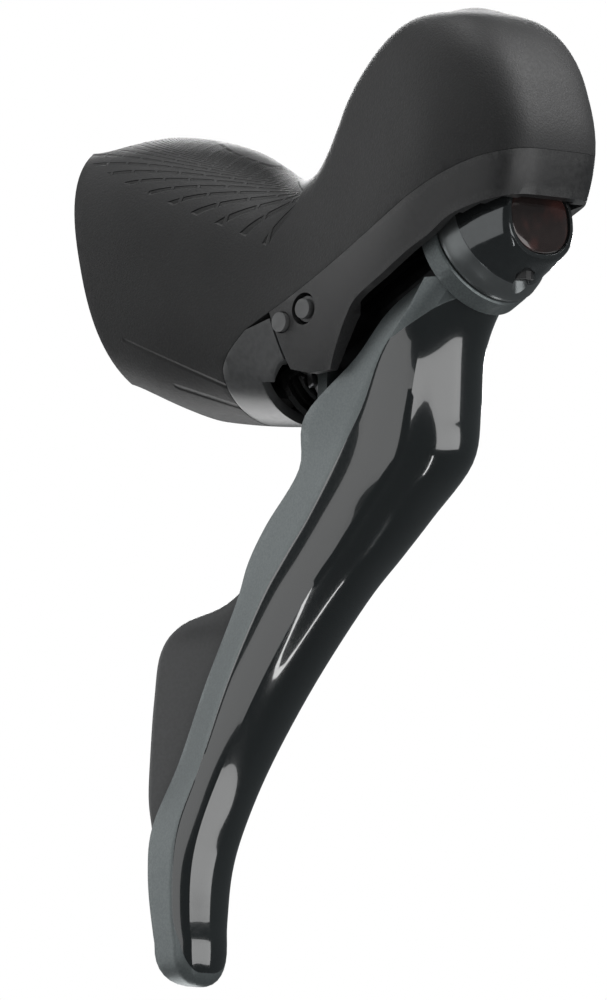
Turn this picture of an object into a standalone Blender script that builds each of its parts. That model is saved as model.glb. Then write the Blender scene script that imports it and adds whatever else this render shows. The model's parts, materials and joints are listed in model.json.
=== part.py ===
"""Right-hand brake and shift lever of a road bicycle: hydraulic brake, mechanical shifting.

-Y is forwards, +Z is up and -X is the outer side. The origin is the middle of the handlebar clamp.
Sizes below are millimetres and degrees; MM turns them into metres when a mesh is made.
Points called (y, z) lie in the lever's middle plane, x = 0.
"""

import math

import bmesh
import bpy
from mathutils import Matrix, Vector

MM = 0.001
GAP = 0.3

# Handlebar and its clamp
BAR_RADIUS = 12.0
BAR_LEAN = 12.0
BAND_HEIGHT = 12.0
BAND_THICKNESS = 1.2
BOLT_X = -15.2
BOLT_HOLE = 1.7
LUG_SIDE = -17.3

# Pivots
BRAKE_AXLE = (-54.0, -10.0)
AXLE_RADIUS = 2.5
REST_PIN = (-48.3, -12.2)
REST_PIN_RADIUS = 1.9
SHIFT_RING = (-87.5, 0.0)
SHIFT_TILT = 27.0
RING_RADIUS = 13.0

# Hydraulics: the cylinder's axis starts at the thrust roller and rises forwards
THRUST_ARM = 14.0
CYLINDER_TILT = 30.0
CYLINDER_START = 12.7
CYLINDER_END = 46.0
CYLINDER_RADIUS = 5.5
BORE_RADIUS = 4.0
PISTON_ENDS = (15.2, 25.2)
SEAL_GROOVES = ((17.0, 18.6), (22.4, 24.0))
GROOVE_RADIUS = 2.6

# Shells
HOOD_THICKNESS = 2.5
CORE_INSET = 2.8
COVER_THICKNESS = 2.0
CAVITY_TOP = 13.6
CAVITY_HALF_WIDTH = 13.3
AXLE_CAVITY_HALF_WIDTH = 11.6
LIP_CAVITY = ((-98.6, -94.0, 12.2), (-103.3, -98.6, 10.9), (-104.4, -103.3, 7.0))
REAR_CAVITY_HALF_WIDTH = 10.8
REAR_CAVITY_RADIUS = 22.6
RESERVOIR_TOP = 38.0
ABOVE_RESERVOIR = ((-130, RESERVOIR_TOP), (-40, RESERVOIR_TOP), (-40, 60), (-130, 60))

# Ports that leave the bracket backwards: (x, z) of each and the y of its open end
HOSE_PORT = (-5.5, 7.0)
CABLE_PORT = (7.5, 6.0)
PORT_END = -14.0

# The body's stations, from the handlebar forwards and up to the top of the horn:
# top (y, z), bottom (y, z), half-width of the lower and upper side, squareness of the corners
BODY_STATIONS = (
    ((6.4, 28.6), (-5.8, -24.4), 20.3, 21.2, 2.7),
    ((-9.0, 28.2), (-15.0, -27.6), 19.2, 20.2, 2.8),
    ((-24.0, 25.2), (-28.0, -30.0), 17.8, 17.4, 2.6),
    ((-36.0, 19.0), (-41.0, -31.0), 16.6, 14.4, 2.6),
    ((-43.0, 17.6), (-54.0, -31.0), 16.2, 13.2, 2.8),
    ((-48.5, 19.4), (-70.0, -27.0), 16.2, 13.2, 3.2),
    ((-52.0, 22.4), (-90.0, -14.0), 16.6, 13.8, 4.0),
    ((-55.0, 25.8), (-104.0, 3.0), 17.0, 14.4, 5.0),
    ((-58.5, 30.0), (-108.5, 17.0), 17.2, 15.0, 6.0),
    ((-63.0, 35.5), (-106.2, 29.0), 16.5, 14.6, 6.0),
    ((-68.5, 40.8), (-102.4, 37.6), 15.0, 13.4, 5.0),
    ((-74.5, 44.4), (-97.2, 43.0), 12.0, 11.4, 4.0),
    ((-81.0, 45.8), (-91.5, 45.5), 6.3, 6.0, 3.0),
)
BODY_TOP = (-86.0, 46.3)
LOWER_SIDE_ANGLE = -13.0
UPPER_SIDE_ANGLE = 14.0

# Edges on the body's side, as (y, z)
SEAM = ((-45.0, -10.0), (-82.8, 9.0), (-91.5, 12.6), (-99.8, 15.4), (-108.0, 16.9), (-125.0, 18.0))
COVER_EDGE = ((-45.0, -10.0), (-39.0, -13.0), (-33.5, -18.0), (-31.5, -22.5), (-31.0, -36.0))
EAR_REAR = ((-45.0, -10.0), (-49.7, -21.2))
LEVER_OPENING = (
    (-49.7, -21.2), (-54.4, -22.3), (-59.8, -22.0), (-65.0, -13.2), (-68.2, -9.2), (-75.5, -5.1),
    (-82.3, -1.2), (-87.7, 1.5), (-92.8, 4.8), (-99.5, 7.0), (-106.0, 8.3), (-125.0, 9.0),
)
RECESS_CENTRE = (-50.5, -25.0)
RECESS_RADIUS = 6.2

# The blade's horizontal sections, from the head down: z, then (x, y) of the flank's rear edge,
# of the crease between flank and front, of the nose and of the inner edge
BLADE_STATIONS = (
    (-6.0, (-9.0, -80.5), (-11.5, -83.0), (8.0, -89.5), (11.0, -81.5)),
    (-12.0, (-10.6, -72.0), (-12.2, -79.0), (7.5, -84.0), (11.6, -73.0)),
    (-20.0, (-11.3, -64.3), (-12.2, -72.0), (6.5, -81.3), (11.2, -67.5)),
    (-30.0, (-11.0, -50.4), (-12.4, -67.0), (7.0, -79.9), (11.0, -66.0)),
    (-40.0, (-10.5, -48.3), (-12.6, -60.0), (6.0, -78.6), (10.0, -64.0)),
    (-50.0, (-10.5, -39.5), (-12.8, -52.8), (4.5, -69.2), (8.3, -58.0)),
    (-57.0, (-11.0, -35.1), (-13.2, -47.0), (3.0, -62.7), (6.3, -53.0)),
    (-65.0, (-12.2, -32.9), (-14.2, -41.7), (1.5, -54.9), (4.5, -46.5)),
    (-80.0, (-14.2, -26.7), (-16.4, -35.0), (-2.0, -44.4), (0.8, -37.5)),
    (-95.0, (-17.0, -22.3), (-19.2, -30.9), (-5.5, -36.2), (-3.0, -30.5)),
    (-107.0, (-20.5, -18.8), (-22.0, -27.5), (-9.0, -32.5), (-6.5, -27.0)),
    (-116.0, (-22.3, -19.3), (-23.2, -27.0), (-10.5, -30.4), (-8.5, -25.0)),
    (-126.0, (-22.8, -20.9), (-23.6, -27.5), (-12.0, -30.5), (-10.0, -25.5)),
    (-133.0, (-22.3, -22.5), (-22.8, -28.5), (-13.2, -31.2), (-11.8, -27.0)),
    (-138.3, (-19.6, -26.0), (-19.8, -28.5), (-16.0, -29.5), (-15.6, -27.5)),
)
BLADE_WALL = 2.2
CHANNEL_END = -96.0

# The paddle's horizontal sections: z, front edge (x, y), rear edge (x, y), thickness
PADDLE_STATIONS = (
    (-18.0, (-1.0, -51.5), (-1.0, -46.5), 5.0),
    (-26.0, (-1.5, -53.0), (-1.5, -48.6), 5.0),
    (-34.0, (-2.5, -54.0), (-2.5, -49.6), 4.6),
    (-42.0, (-3.5, -52.0), (-3.5, -46.5), 4.0),
    (-50.0, (-4.7, -47.0), (-5.4, -40.5), 3.4),
    (-58.0, (-5.7, -42.0), (-7.8, -35.5), 2.8),
    (-64.5, (-6.4, -38.5), (-10.2, -28.5), 2.4),
    (-68.0, (-6.8, -36.5), (-13.2, -19.5), 2.6),
    (-73.0, (-7.4, -34.5), (-13.8, -14.4), 2.6),
    (-82.0, (-8.8, -30.5), (-14.8, -13.6), 2.6),
    (-92.0, (-11.6, -25.5), (-16.0, -13.8), 2.6),
    (-101.0, (-15.4, -20.0), (-17.2, -14.6), 2.6),
    (-107.5, (-17.0, -19.0), (-17.8, -16.2), 2.2),
)

# Places along the shift axle, measured backwards from the head's ring
BLADE_HUB = (0.3, 4.3)
CARRIER_SLEEVE = (4.7, 38.8)
BLADE_LUG = (39.9, 42.7)
PADDLE_LUG = (43.1, 45.4)
RATCHET = (45.8, 47.1)
DRUM = (47.4, 50.2)
UNIT_COVER = (41.2, 51.5)
AXLE_NUT = (51.8, 54.2)

parts = bpy.data.collections.new("brake_shift_lever")
cutters = bpy.data.collections.new("cutters")


# ---------------------------------------------------------------- general helpers


def clear_scene():
    for thing in list(bpy.data.objects):
        bpy.data.objects.remove(thing, do_unlink=True)
    bpy.context.scene.collection.children.link(parts)
    bpy.context.scene.collection.children.link(cutters)


def new_material(name, colour, metallic, roughness):
    made = bpy.data.materials.new(name)
    made.use_nodes = True
    shader = made.node_tree.nodes["Principled BSDF"]
    shader.inputs["Base Color"].default_value = (*colour, 1.0)
    shader.inputs["Metallic"].default_value = metallic
    shader.inputs["Roughness"].default_value = roughness
    return made


def new_object(name, mesh, material=None, body=None, matrix=None):
    """An object in the part's collection, or a cutter if it has no material."""
    made = bpy.data.objects.new(name, mesh)
    made.matrix_world = matrix or Matrix()
    if material:
        parts.objects.link(made)
        mesh.materials.append(material)
    else:
        cutters.objects.link(made)
        made.hide_render = True
        made.display_type = "WIRE"
    if body:
        made.parent = body
        made.matrix_parent_inverse = body.matrix_world.inverted()
    return made


def pivot(name, point, direction, parent=None):
    """An empty on a joint's axis, its Z along the axis; the pieces that turn with the joint hang on it."""
    empty = bpy.data.objects.new(name, None)
    empty.matrix_world = place(point, direction)
    parts.objects.link(empty)
    if parent:
        empty.parent = parent
        empty.matrix_parent_inverse = parent.matrix_world.inverted()
    return empty


def place(point, direction):
    """The matrix that puts local +Z along direction, at point."""
    turn = Vector(direction).to_track_quat("Z", "Y").to_matrix().to_4x4()
    return Matrix.Translation(Vector(point) * MM) @ turn


def finish_mesh(name, bm, smooth=True):
    bmesh.ops.recalc_face_normals(bm, faces=bm.faces)
    mesh = bpy.data.meshes.new(name)
    bm.to_mesh(mesh)
    bm.free()
    if smooth:
        mesh.shade_smooth()
        mesh.set_sharp_from_angle(angle=math.radians(35))
    return mesh


def loft_mesh(name, rings, smooth=True):
    """A closed mesh through rings of equally many points."""
    bm = bmesh.new()
    loops = [[bm.verts.new(Vector(point) * MM) for point in ring] for ring in rings]
    for low, high in zip(loops, loops[1:]):
        for i in range(len(low)):
            j = (i + 1) % len(low)
            bm.faces.new((low[i], low[j], high[j], high[i]))
    for ring in (loops[0], loops[-1]):
        bm.faces.new(ring)
    return finish_mesh(name, bm, smooth)


def prism_mesh(name, outline, low, high):
    """An outline in (y, z), extruded along X from low to high."""
    bm = bmesh.new()
    face = bm.faces.new([bm.verts.new(Vector((low, y, z)) * MM) for y, z in outline])
    grown = bmesh.ops.extrude_face_region(bm, geom=[face])["geom"]
    moved = [item for item in grown if isinstance(item, bmesh.types.BMVert)]
    bmesh.ops.translate(bm, verts=moved, vec=Vector((high - low, 0, 0)) * MM)
    return finish_mesh(name, bm, smooth=False)


def box_mesh(name, low, high):
    bm = bmesh.new()
    bmesh.ops.create_cube(bm, size=1.0)
    size = Vector(high) - Vector(low)
    middle = (Vector(high) + Vector(low)) / 2
    bmesh.ops.scale(bm, verts=bm.verts, vec=size * MM)
    bmesh.ops.translate(bm, verts=bm.verts, vec=middle * MM)
    return finish_mesh(name, bm, smooth=False)


def turned(name, profile, point, direction, material=None, body=None, steps=20):
    """A turned piece. The profile is (radius, distance along direction), from the far end down its outer side;
    it closes on itself where it starts off the axis."""
    bm = bmesh.new()
    corners = [bm.verts.new(Vector((radius, 0, distance)) * MM) for radius, distance in profile]
    for a, b in zip(corners, corners[1:]):
        bm.edges.new((a, b))
    if profile[0][0] > 0:
        bm.edges.new((corners[-1], corners[0]))
    mesh = bpy.data.meshes.new(name)
    bm.to_mesh(mesh)
    bm.free()
    made = new_object(name, mesh, material, body, place(point, direction))
    screw = made.modifiers.new("turn", "SCREW")
    screw.axis = "Z"
    screw.steps = steps
    screw.render_steps = steps
    screw.use_merge_vertices = True
    screw.merge_threshold = 0.00001
    screw.use_smooth_shade = False
    return made


def rod(name, start, end, radius, material=None, body=None, steps=20):
    length = (Vector(end) - Vector(start)).length
    profile = ((0, length), (radius, length), (radius, 0), (0, 0))
    return turned(name, profile, start, Vector(end) - Vector(start), material, body, steps)


def sleeve(name, start, end, outer, inner, material=None, body=None, steps=20):
    length = (Vector(end) - Vector(start)).length
    profile = ((inner, length), (outer, length), (outer, 0), (inner, 0))
    return turned(name, profile, start, Vector(end) - Vector(start), material, body, steps)


def stepped_bore(name, point, direction, widths, steps=20):
    """A bore as a cutter: widths lists where each radius begins along direction, and last the far end."""
    profile = [(0, widths[-1][0])]
    for (start, radius), (end, _) in reversed(list(zip(widths, widths[1:]))):
        profile += [(radius, end), (radius, start)]
    profile.append((0, widths[0][0]))
    return turned(name, profile, point, direction, steps=steps)


def combine(target, operation, *others):
    """Adds one Boolean modifier to target for each of the other objects, in order."""
    for other in others:
        modifier = target.modifiers.new(other.name, "BOOLEAN")
        modifier.operation = operation
        modifier.solver = "EXACT"
        modifier.object = other
    return target


# ---------------------------------------------------------------- places on the lever


def on_shift_axle(back, height=0.0, x=0.0):
    """The point at a distance behind the head's ring, and height above the shift axle."""
    tilt = math.radians(SHIFT_TILT)
    y = SHIFT_RING[0] + back * math.cos(tilt) + height * math.sin(tilt)
    z = SHIFT_RING[1] - back * math.sin(tilt) + height * math.cos(tilt)
    return (x, y, z)


def thrust_pin():
    """The middle of the roller that pushes the piston: square above the brake axle, across the cylinder's axis."""
    tilt = math.radians(CYLINDER_TILT)
    return (
        BRAKE_AXLE[0] + THRUST_ARM * math.sin(tilt),
        BRAKE_AXLE[1] + THRUST_ARM * math.cos(tilt),
    )


def in_cylinder(distance):
    """The point on the master cylinder's axis at a distance ahead of the thrust roller."""
    tilt = math.radians(CYLINDER_TILT)
    y, z = thrust_pin()
    return (0.0, y - distance * math.cos(tilt), z + distance * math.sin(tilt))


def on_bar(x, y, z):
    """A point given in the handlebar's own frame, whose Z runs along the leaning bar."""
    return tuple(bar_frame() @ Vector((x, y, z)))


def bar_frame():
    """The matrix of the handlebar's own frame."""
    return Matrix.Rotation(math.radians(-BAR_LEAN), 4, "X")


def in_port(port, depth=0.0):
    """The point on a port's axis at a depth ahead of its open end."""
    x, z = port
    return (x, PORT_END - depth, z)


def shifted(outline, dy, dz):
    return [(y + dy, z + dz) for y, z in outline]


# ---------------------------------------------------------------- the body's outer form


def soft_polygon(direction, sides, power):
    """The distance from the middle to a rounded polygon, seen in a direction; a side is (angle, distance, share)."""
    total = 0.0
    for angle, distance, share in sides:
        facing = math.cos(direction - math.radians(angle))
        if facing > 0:
            total += share * (facing / distance) ** power
    return total ** (-1 / power)


def body_ring(station, count):
    """The body's section at one station: an upright rounded polygon between the top and bottom points."""
    top, bottom, lower, upper, power = station
    up = Vector((0, top[0] - bottom[0], top[1] - bottom[1]))
    middle = Vector((0, top[0] + bottom[0], top[1] + bottom[1])) / 2
    height = up.length / 2
    up.normalize()
    sides = [(90, height, 1), (-90, height, 1)]
    for angle, width in ((LOWER_SIDE_ANGLE, lower), (UPPER_SIDE_ANGLE, upper)):
        sides += [(angle, width, 0.5), (180 - angle, width, 0.5)]
    ring = []
    for i in range(count):
        turn = 2 * math.pi * (i + 0.5) / count
        direction = math.atan2(height * math.sin(turn), lower * math.cos(turn))
        reach = soft_polygon(direction, sides, power)
        ring.append(middle + Vector((reach * math.cos(direction), 0, 0)) + up * reach * math.sin(direction))
    return ring


def body_form(name, inset=0.0, count=24):
    """The hood and bracket's common outer form as a cutter, or the same form a wall thickness further in."""
    bm = bmesh.new()
    loops = [[bm.verts.new(p * MM) for p in body_ring(s, count)] for s in BODY_STATIONS]
    for low, high in zip(loops, loops[1:]):
        for i in range(count):
            j = (i + 1) % count
            bm.faces.new((low[i], low[j], high[j], high[i]))
    tip = bm.verts.new(Vector((0, *BODY_TOP)) * MM)
    for i in range(count):
        bm.faces.new((loops[-1][i], loops[-1][(i + 1) % count], tip))
    bmesh.ops.recalc_face_normals(bm, faces=bm.faces)
    bm.normal_update()
    if tip.normal.z < 0:
        bmesh.ops.reverse_faces(bm, faces=bm.faces)
        bm.normal_update()
    for vert in list(bm.verts):
        vert.co = vert.co - vert.normal * inset * MM
    rear = loops[0]
    if inset:
        # A wall's inner form reaches past the rim, so that the shell stays open there.
        further = [bm.verts.new(v.co + Vector((0, 4 * MM, 0))) for v in rear]
        for i in range(count):
            j = (i + 1) % count
            bm.faces.new((further[i], further[j], rear[j], rear[i]))
        rear = further
    bm.faces.new(rear)
    return new_object(name, finish_mesh(name, bm))


def zone(name, outline, half_width=40.0):
    return new_object(name, prism_mesh(name, outline, -half_width, half_width))


# ---------------------------------------------------------------- bracket, hood and cover


def bracket(materials):
    """Composite bracket: core under the hood, visible ears and lip below the seam, cavities and bores."""
    body = body_form("bracket_core", CORE_INSET)
    lean = math.tan(math.radians(BAR_LEAN))
    rear = zone("behind_bar", ((-3 - 45 * lean, -45), (-3 + 45 * lean, 45), (60, 45), (60, -45)))
    above = zone("above_reservoir", ABOVE_RESERVOIR)
    visible = body_form("visible_bracket")
    edges = list(EAR_REAR[:1]) + list(SEAM[1:]) + list(reversed(LEVER_OPENING))
    combine(visible, "INTERSECT", zone("bracket_zone", edges))
    made = new_object("bracket_body", body.data.copy(), materials["composite"])
    bpy.data.objects.remove(body, do_unlink=True)
    combine(made, "DIFFERENCE", rear, above, zone("open_front", open_front()))
    combine(made, "UNION", visible)
    combine(made, "DIFFERENCE", lever_cavity(), rear_cavity(), flank_room())
    combine(made, "UNION", *bosses())
    combine(made, "DIFFERENCE", *bracket_bores())
    return made


def open_front():
    """What the core leaves free under the lower cover and below the ears and the lip."""
    under_cover = [(-47.0, -16.0), (-42.5, -12.5), (-37.0, -15.0), (-33.0, -20.0), (-30.5, -24.0), (-30.5, -60.0)]
    return under_cover + [(-125.0, -60.0)] + list(reversed(LEVER_OPENING))


def lever_cavity():
    """The space under the horn for the head and the carrier, open downwards, narrower at the axle and the lip."""
    top = CAVITY_TOP
    ceiling = [(-94.0, top), (-84.0, top), (-70.0, 5.0), (-66.0, 3.0)]
    made = zone("lever_cavity", ceiling + [(-66.0, -50.0), (-94.0, -50.0)], CAVITY_HALF_WIDTH)
    for front, rear, half_width in LIP_CAVITY:
        outline = [(front, top), (rear + 0.5, top), (rear + 0.5, -50.0), (front, -50.0)]
        combine(made, "UNION", zone("lip_cavity", outline, half_width))
    at_axle = [(-66.5, 3.2), (-60.0, 0.5), (-49.0, 0.5), (-49.0, -50.0), (-66.5, -50.0)]
    below_lip = [(-101.0, -3.0), (-101.0, -50.0), (-130.0, -50.0), (-130.0, -3.0)]
    combine(made, "UNION", zone("axle_cavity", at_axle, AXLE_CAVITY_HALF_WIDTH))
    return combine(made, "UNION", zone("below_lip", below_lip, CAVITY_HALF_WIDTH))


def rear_cavity():
    width = REAR_CAVITY_HALF_WIDTH
    return rod("rear_cavity", (-width, *BRAKE_AXLE), (width, *BRAKE_AXLE), REAR_CAVITY_RADIUS, steps=36)


def flank_room():
    """Room under the rear of the ears for the blade's flank when the brake is pulled."""
    width = CAVITY_HALF_WIDTH + 0.2
    return new_object("flank_room", box_mesh("flank_room", (-width, -62, -60), (width, -42.6, -23.4)))


def bosses():
    """Round bosses inside the ears that hold the brake axle's bushes."""
    inner = REAR_CAVITY_HALF_WIDTH - 0.9
    made = []
    for side in (-1, 1):
        start = (side * inner, *BRAKE_AXLE)
        end = (side * (AXLE_CAVITY_HALF_WIDTH + 0.4), *BRAKE_AXLE)
        made.append(rod("axle_boss_outer" if side < 0 else "axle_boss_inner", start, end, 6.6, steps=28))
    return made


def bracket_bores():
    bar_steps = ((0, BAR_RADIUS), (60 - 7, BAR_RADIUS + 2), (60 + 7, BAR_RADIUS), (120, BAR_RADIUS))
    cuts = [
        rod("rest_pin_bore", (-30, *REST_PIN), (-8, *REST_PIN), REST_PIN_RADIUS + 0.2, steps=18),
        stepped_bore("axle_bore", (-30, *BRAKE_AXLE), (1, 0, 0), ((0, 3.1), (17, 3.6), (60, 3.6))),
        rod("cylinder_bore", in_cylinder(8), in_cylinder(CYLINDER_END + 0.5), CYLINDER_RADIUS + GAP),
        stepped_bore("bar_bore", on_bar(0, 0, -60), on_bar(0, 0, 1), bar_steps, steps=36),
        rod("guide_bore", in_port(CABLE_PORT, 31), in_port(CABLE_PORT, -19), 2.9),
        rod("hose_bore", in_port(HOSE_PORT, 24), in_port(HOSE_PORT, -19), 3.6),
        new_object("reservoir_cavity", box_mesh("reservoir_cavity", (-6.8, -97, 32.6), (6.8, -77, 60))),
    ]
    cuts += [rod(f"lid_screw_bore_{i}", (x, y, 33), (x, y, 60), 1.2, steps=12) for i, (x, y) in lid_screws()]
    cuts.append(rod("bolt_bore", on_bar(BOLT_X, -10.6, 0), on_bar(BOLT_X, 12, 0), BOLT_HOLE, steps=12))
    cuts.append(rod("bolt_head_room", on_bar(BOLT_X, -14.2, 0), on_bar(BOLT_X, -10.0, 0), 2.7, steps=16))
    head_slot = box_mesh("lug_room", (-22, -8.6, -6.8), (-11.0, 12, 6.8))
    cuts.append(new_object("lug_room", head_slot, matrix=bar_frame()))
    return cuts


def lid_screws():
    spots = [(x, y) for y in (-91.0, -80.0) for x in (-8.6, 8.6)]
    return list(enumerate(spots, 1))


def hood(materials):
    """Rubber hood over the core, open at the rear round the handlebar and ending at the seam."""
    made = new_object("hood", body_form("hood_outer").data.copy(), materials["rubber"])
    front = shifted(reversed(SEAM), 0, GAP) + shifted(COVER_EDGE[1:], GAP, 0) + [(-31, -70), (-125, -70)]
    inner = body_form("hood_inside", HOOD_THICKNESS)
    passage = rod("bar_passage", on_bar(0, 0, -60), on_bar(0, 0, 60), BAR_RADIUS + 1.5, steps=36)
    return combine(made, "DIFFERENCE", inner, zone("hood_front", front), passage)


def lower_cover(materials):
    """Thin smooth cover between the hood and the ears, with a round recess on each side."""
    made = new_object("lower_cover", body_form("cover_outer").data.copy(), materials["plastic"])
    edge = shifted(COVER_EDGE, -GAP, 0)
    ear = shifted(EAR_REAR, 2 * GAP, -GAP)
    outline = [(-45.4, -12.6)] + edge[1:] + [(-31.3, -60), (-58, -60)] + [ear[1]]
    combine(made, "INTERSECT", zone("cover_zone", outline))
    y, z = RECESS_CENTRE
    recess = rod("recess", (-40, y, z), (40, y, z), RECESS_RADIUS, steps=24)
    width = CAVITY_HALF_WIDTH
    front = new_object("cover_front", box_mesh("cover_front", (-width, -70, -60), (width, -41.2, -20)))
    return combine(made, "DIFFERENCE", body_form("cover_inside", COVER_THICKNESS), recess, front)


# ---------------------------------------------------------------- handlebar clamp


def clamp(materials):
    """Steel band round the bar, the bolt that pulls its lug forwards and the nut plate it screws into."""
    half = BAND_HEIGHT / 2
    inner = BAR_RADIUS + 0.1
    outer = inner + BAND_THICKNESS
    band = sleeve("clamp_band", on_bar(0, 0, -half), on_bar(0, 0, half), outer, inner, materials["steel"], steps=36)
    lug = new_object("band_lug", box_mesh("band_lug", (LUG_SIDE, -7.8, -5), (-9.0, -4.6, 5)), matrix=bar_frame())
    hole = rod("band_lug_hole", on_bar(BOLT_X, -12, 0), on_bar(BOLT_X, 12, 0), BOLT_HOLE, steps=12)
    inside = rod("band_inside", on_bar(0, 0, -9), on_bar(0, 0, 9), inner, steps=36)
    combine(band, "UNION", lug)
    combine(band, "DIFFERENCE", inside, hole)
    nut_mesh = box_mesh("clamp_nut", (LUG_SIDE, -4.2, -4), (BOLT_X + 1.8, 0.6, 4))
    nut = new_object("clamp_nut", nut_mesh, materials["steel"], matrix=bar_frame())
    nut_hole = rod("nut_hole", on_bar(BOLT_X, -12, 0), on_bar(BOLT_X, 12, 0), BOLT_HOLE, steps=12)
    combine(nut, "DIFFERENCE", nut_hole)
    shank = BOLT_HOLE - GAP
    profile = ((0, 1.2), (1.1, 1.2), (1.1, 3.0), (2.3, 3.0), (2.3, 0), (shank, 0), (shank, -12.4), (0, -12.4))
    turned("clamp_bolt", profile, on_bar(BOLT_X, -10.3, 0), on_bar(0, -1, 0), materials["steel"], steps=12)


# ---------------------------------------------------------------- hydraulics


def hydraulics(materials, piston_body):
    length = CYLINDER_END - CYLINDER_START
    profile = (
        (0, length), (CYLINDER_RADIUS, length), (CYLINDER_RADIUS, 0), (BORE_RADIUS, 0), (BORE_RADIUS, length - 1.8),
        (0, length - 1.8),
    )
    direction = Vector(in_cylinder(1)) - Vector(in_cylinder(0))
    shell = turned("master_cylinder", profile, in_cylinder(CYLINDER_START), direction, materials["aluminium"])
    port = in_cylinder(CYLINDER_END - 8)
    combine(shell, "DIFFERENCE", rod("oil_port", port, (port[0], port[1], port[2] + 12), 0.9, steps=12))
    piston_parts(materials, piston_body, direction)
    coil("piston_spring", in_cylinder(30.2), direction, 3.0, 0.4, 6, 13.4, materials["spring"])
    reservoir(materials)
    joint = ((0, 6), (1.2, 6), (1.2, 13), (3.3, 13), (3.3, 3), (2.4, 2), (2.4, 0), (0, 0))
    turned("hose_joint_bolt", joint, in_port(HOSE_PORT, 14), (0, 1, 0), materials["aluminium"])


def piston_parts(materials, body, direction):
    """Piston with its two seals in grooves, and the rod that pushes it."""
    radius = BORE_RADIUS - 0.1
    low_end, high_end = PISTON_ENDS
    profile = [(0, high_end - low_end), (radius, high_end - low_end)]
    for low, high in reversed(SEAL_GROOVES):
        high, low = high - low_end, low - low_end
        profile += [(radius, high), (GROOVE_RADIUS, high), (GROOVE_RADIUS, low), (radius, low)]
    profile += [(radius, 0), (0, 0)]
    turned("piston", profile, in_cylinder(low_end), direction, materials["aluminium"], body)
    for name, (low, high) in zip(("secondary_seal", "primary_seal"), SEAL_GROOVES):
        start, end = in_cylinder(low + 0.15), in_cylinder(high - 0.15)
        sleeve(name, start, end, BORE_RADIUS - 0.05, GROOVE_RADIUS + 0.15, materials["rubber"], body)
    push = ((0, 11.5), (1.7, 11.5), (1.7, 1.6), (2.3, 1.6), (2.3, 0), (0, 0))
    turned("push_rod", push, in_cylinder(3.4), direction, materials["steel"], body, steps=12)


def reservoir(materials):
    """Diaphragm, lid and screws on top of the horn."""
    pad = new_object(
        "reservoir_diaphragm", box_mesh("reservoir_diaphragm", (-6.5, -96.6, 36.2), (6.5, -77.4, 37.6)),
        materials["rubber"],
    )
    bevel = pad.modifiers.new("soft_edge", "BEVEL")
    bevel.width = 0.4 * MM
    bevel.segments = 2
    lid = new_object("reservoir_lid", body_form("lid_form", CORE_INSET).data.copy(), materials["composite"])
    combine(lid, "INTERSECT", zone("lid_zone", shifted(ABOVE_RESERVOIR, 0, GAP)))
    for i, (x, y) in lid_screws():
        widths = ((0, 1.2), (39.0 - 30, 1.8), (20, 1.8))
        combine(lid, "DIFFERENCE", stepped_bore(f"lid_hole_{i}", (x, y, 30), (0, 0, 1), widths, steps=12))
        profile = ((0, 0.4), (0.7, 0.4), (0.7, 0.9), (1.5, 0.9), (1.5, 0), (0.9, 0), (0.9, -5.8), (0, -5.8))
        turned(f"lid_screw_{i}", profile, (x, y, 39.1), (0, 0, 1), materials["steel"], steps=12)
    centre = (0, BODY_TOP[0] + 1)
    widths = ((0, 2.3), (40.4 - 30, 3.6), (20, 3.6))
    combine(lid, "DIFFERENCE", stepped_bore("bleed_hole", (*centre, 30), (0, 0, 1), widths))
    profile = ((0, 3.4), (1.2, 3.4), (1.2, 4.4), (3.2, 4.4), (3.2, 3.2), (2.0, 3.2), (2.0, 0), (0, 0))
    turned("bleed_screw", profile, (*centre, 38.6), (0, 0, 1), materials["steel"], steps=18)
    sleeve("bleed_o_ring", (*centre, 40.6), (*centre, 41.5), 3.3, 2.3, materials["rubber"], steps=18)


def coil(name, start, direction, radius, wire, turns, length, material, body=None, per_turn=10):
    """A spring: a wire of round section wound along direction from start."""
    matrix = place(start, direction)
    curve = bpy.data.curves.new(name, "CURVE")
    curve.dimensions = "3D"
    curve.bevel_depth = wire * MM
    curve.bevel_resolution = 1
    curve.use_fill_caps = True
    spline = curve.splines.new("POLY")
    count = int(turns * per_turn) + 1
    spline.points.add(count - 1)
    for i, point in enumerate(spline.points):
        turn = 2 * math.pi * i / per_turn
        along = length * i / (count - 1)
        point.co = (radius * math.cos(turn) * MM, radius * math.sin(turn) * MM, along * MM, 1)
    return new_object(name, curve, material, body, matrix)


# ---------------------------------------------------------------- brake pivot


def brake_pivot(materials, carrier_body):
    """Axle, its bushes and clip, and the pin that the carrier rests on."""
    reach = 15.4
    profile = (
        (0, 2 * reach), (1.9, 2 * reach), (1.9, 2 * reach - 1.4), (AXLE_RADIUS, 2 * reach - 1.4),
        (AXLE_RADIUS, 2.2), (1.9, 2.2), (1.9, 1.5), (AXLE_RADIUS, 1.5), (AXLE_RADIUS, 0), (0, 0),
    )
    turned("brake_axle", profile, (reach, *BRAKE_AXLE), (-1, 0, 0), materials["steel"])
    sleeve("axle_clip", (13.3, *BRAKE_AXLE), (13.8, *BRAKE_AXLE), 3.2, 2.1, materials["steel"])
    for name, side in (("axle_bush_outer", -1), ("axle_bush_inner", 1)):
        start, end = (side * 10.2, *BRAKE_AXLE), (side * 12.8, *BRAKE_AXLE)
        sleeve(name, start, end, 3.3, AXLE_RADIUS + 0.15, materials["bronze"])
    rod("rest_pin", (-16.0, *REST_PIN), (-11.2, *REST_PIN), REST_PIN_RADIUS, materials["steel"])
    coil("return_spring", (7.3, *BRAKE_AXLE), (1, 0, 0), 6.3, 0.5, 2, 2.0, materials["spring"], carrier_body, 12)


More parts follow.
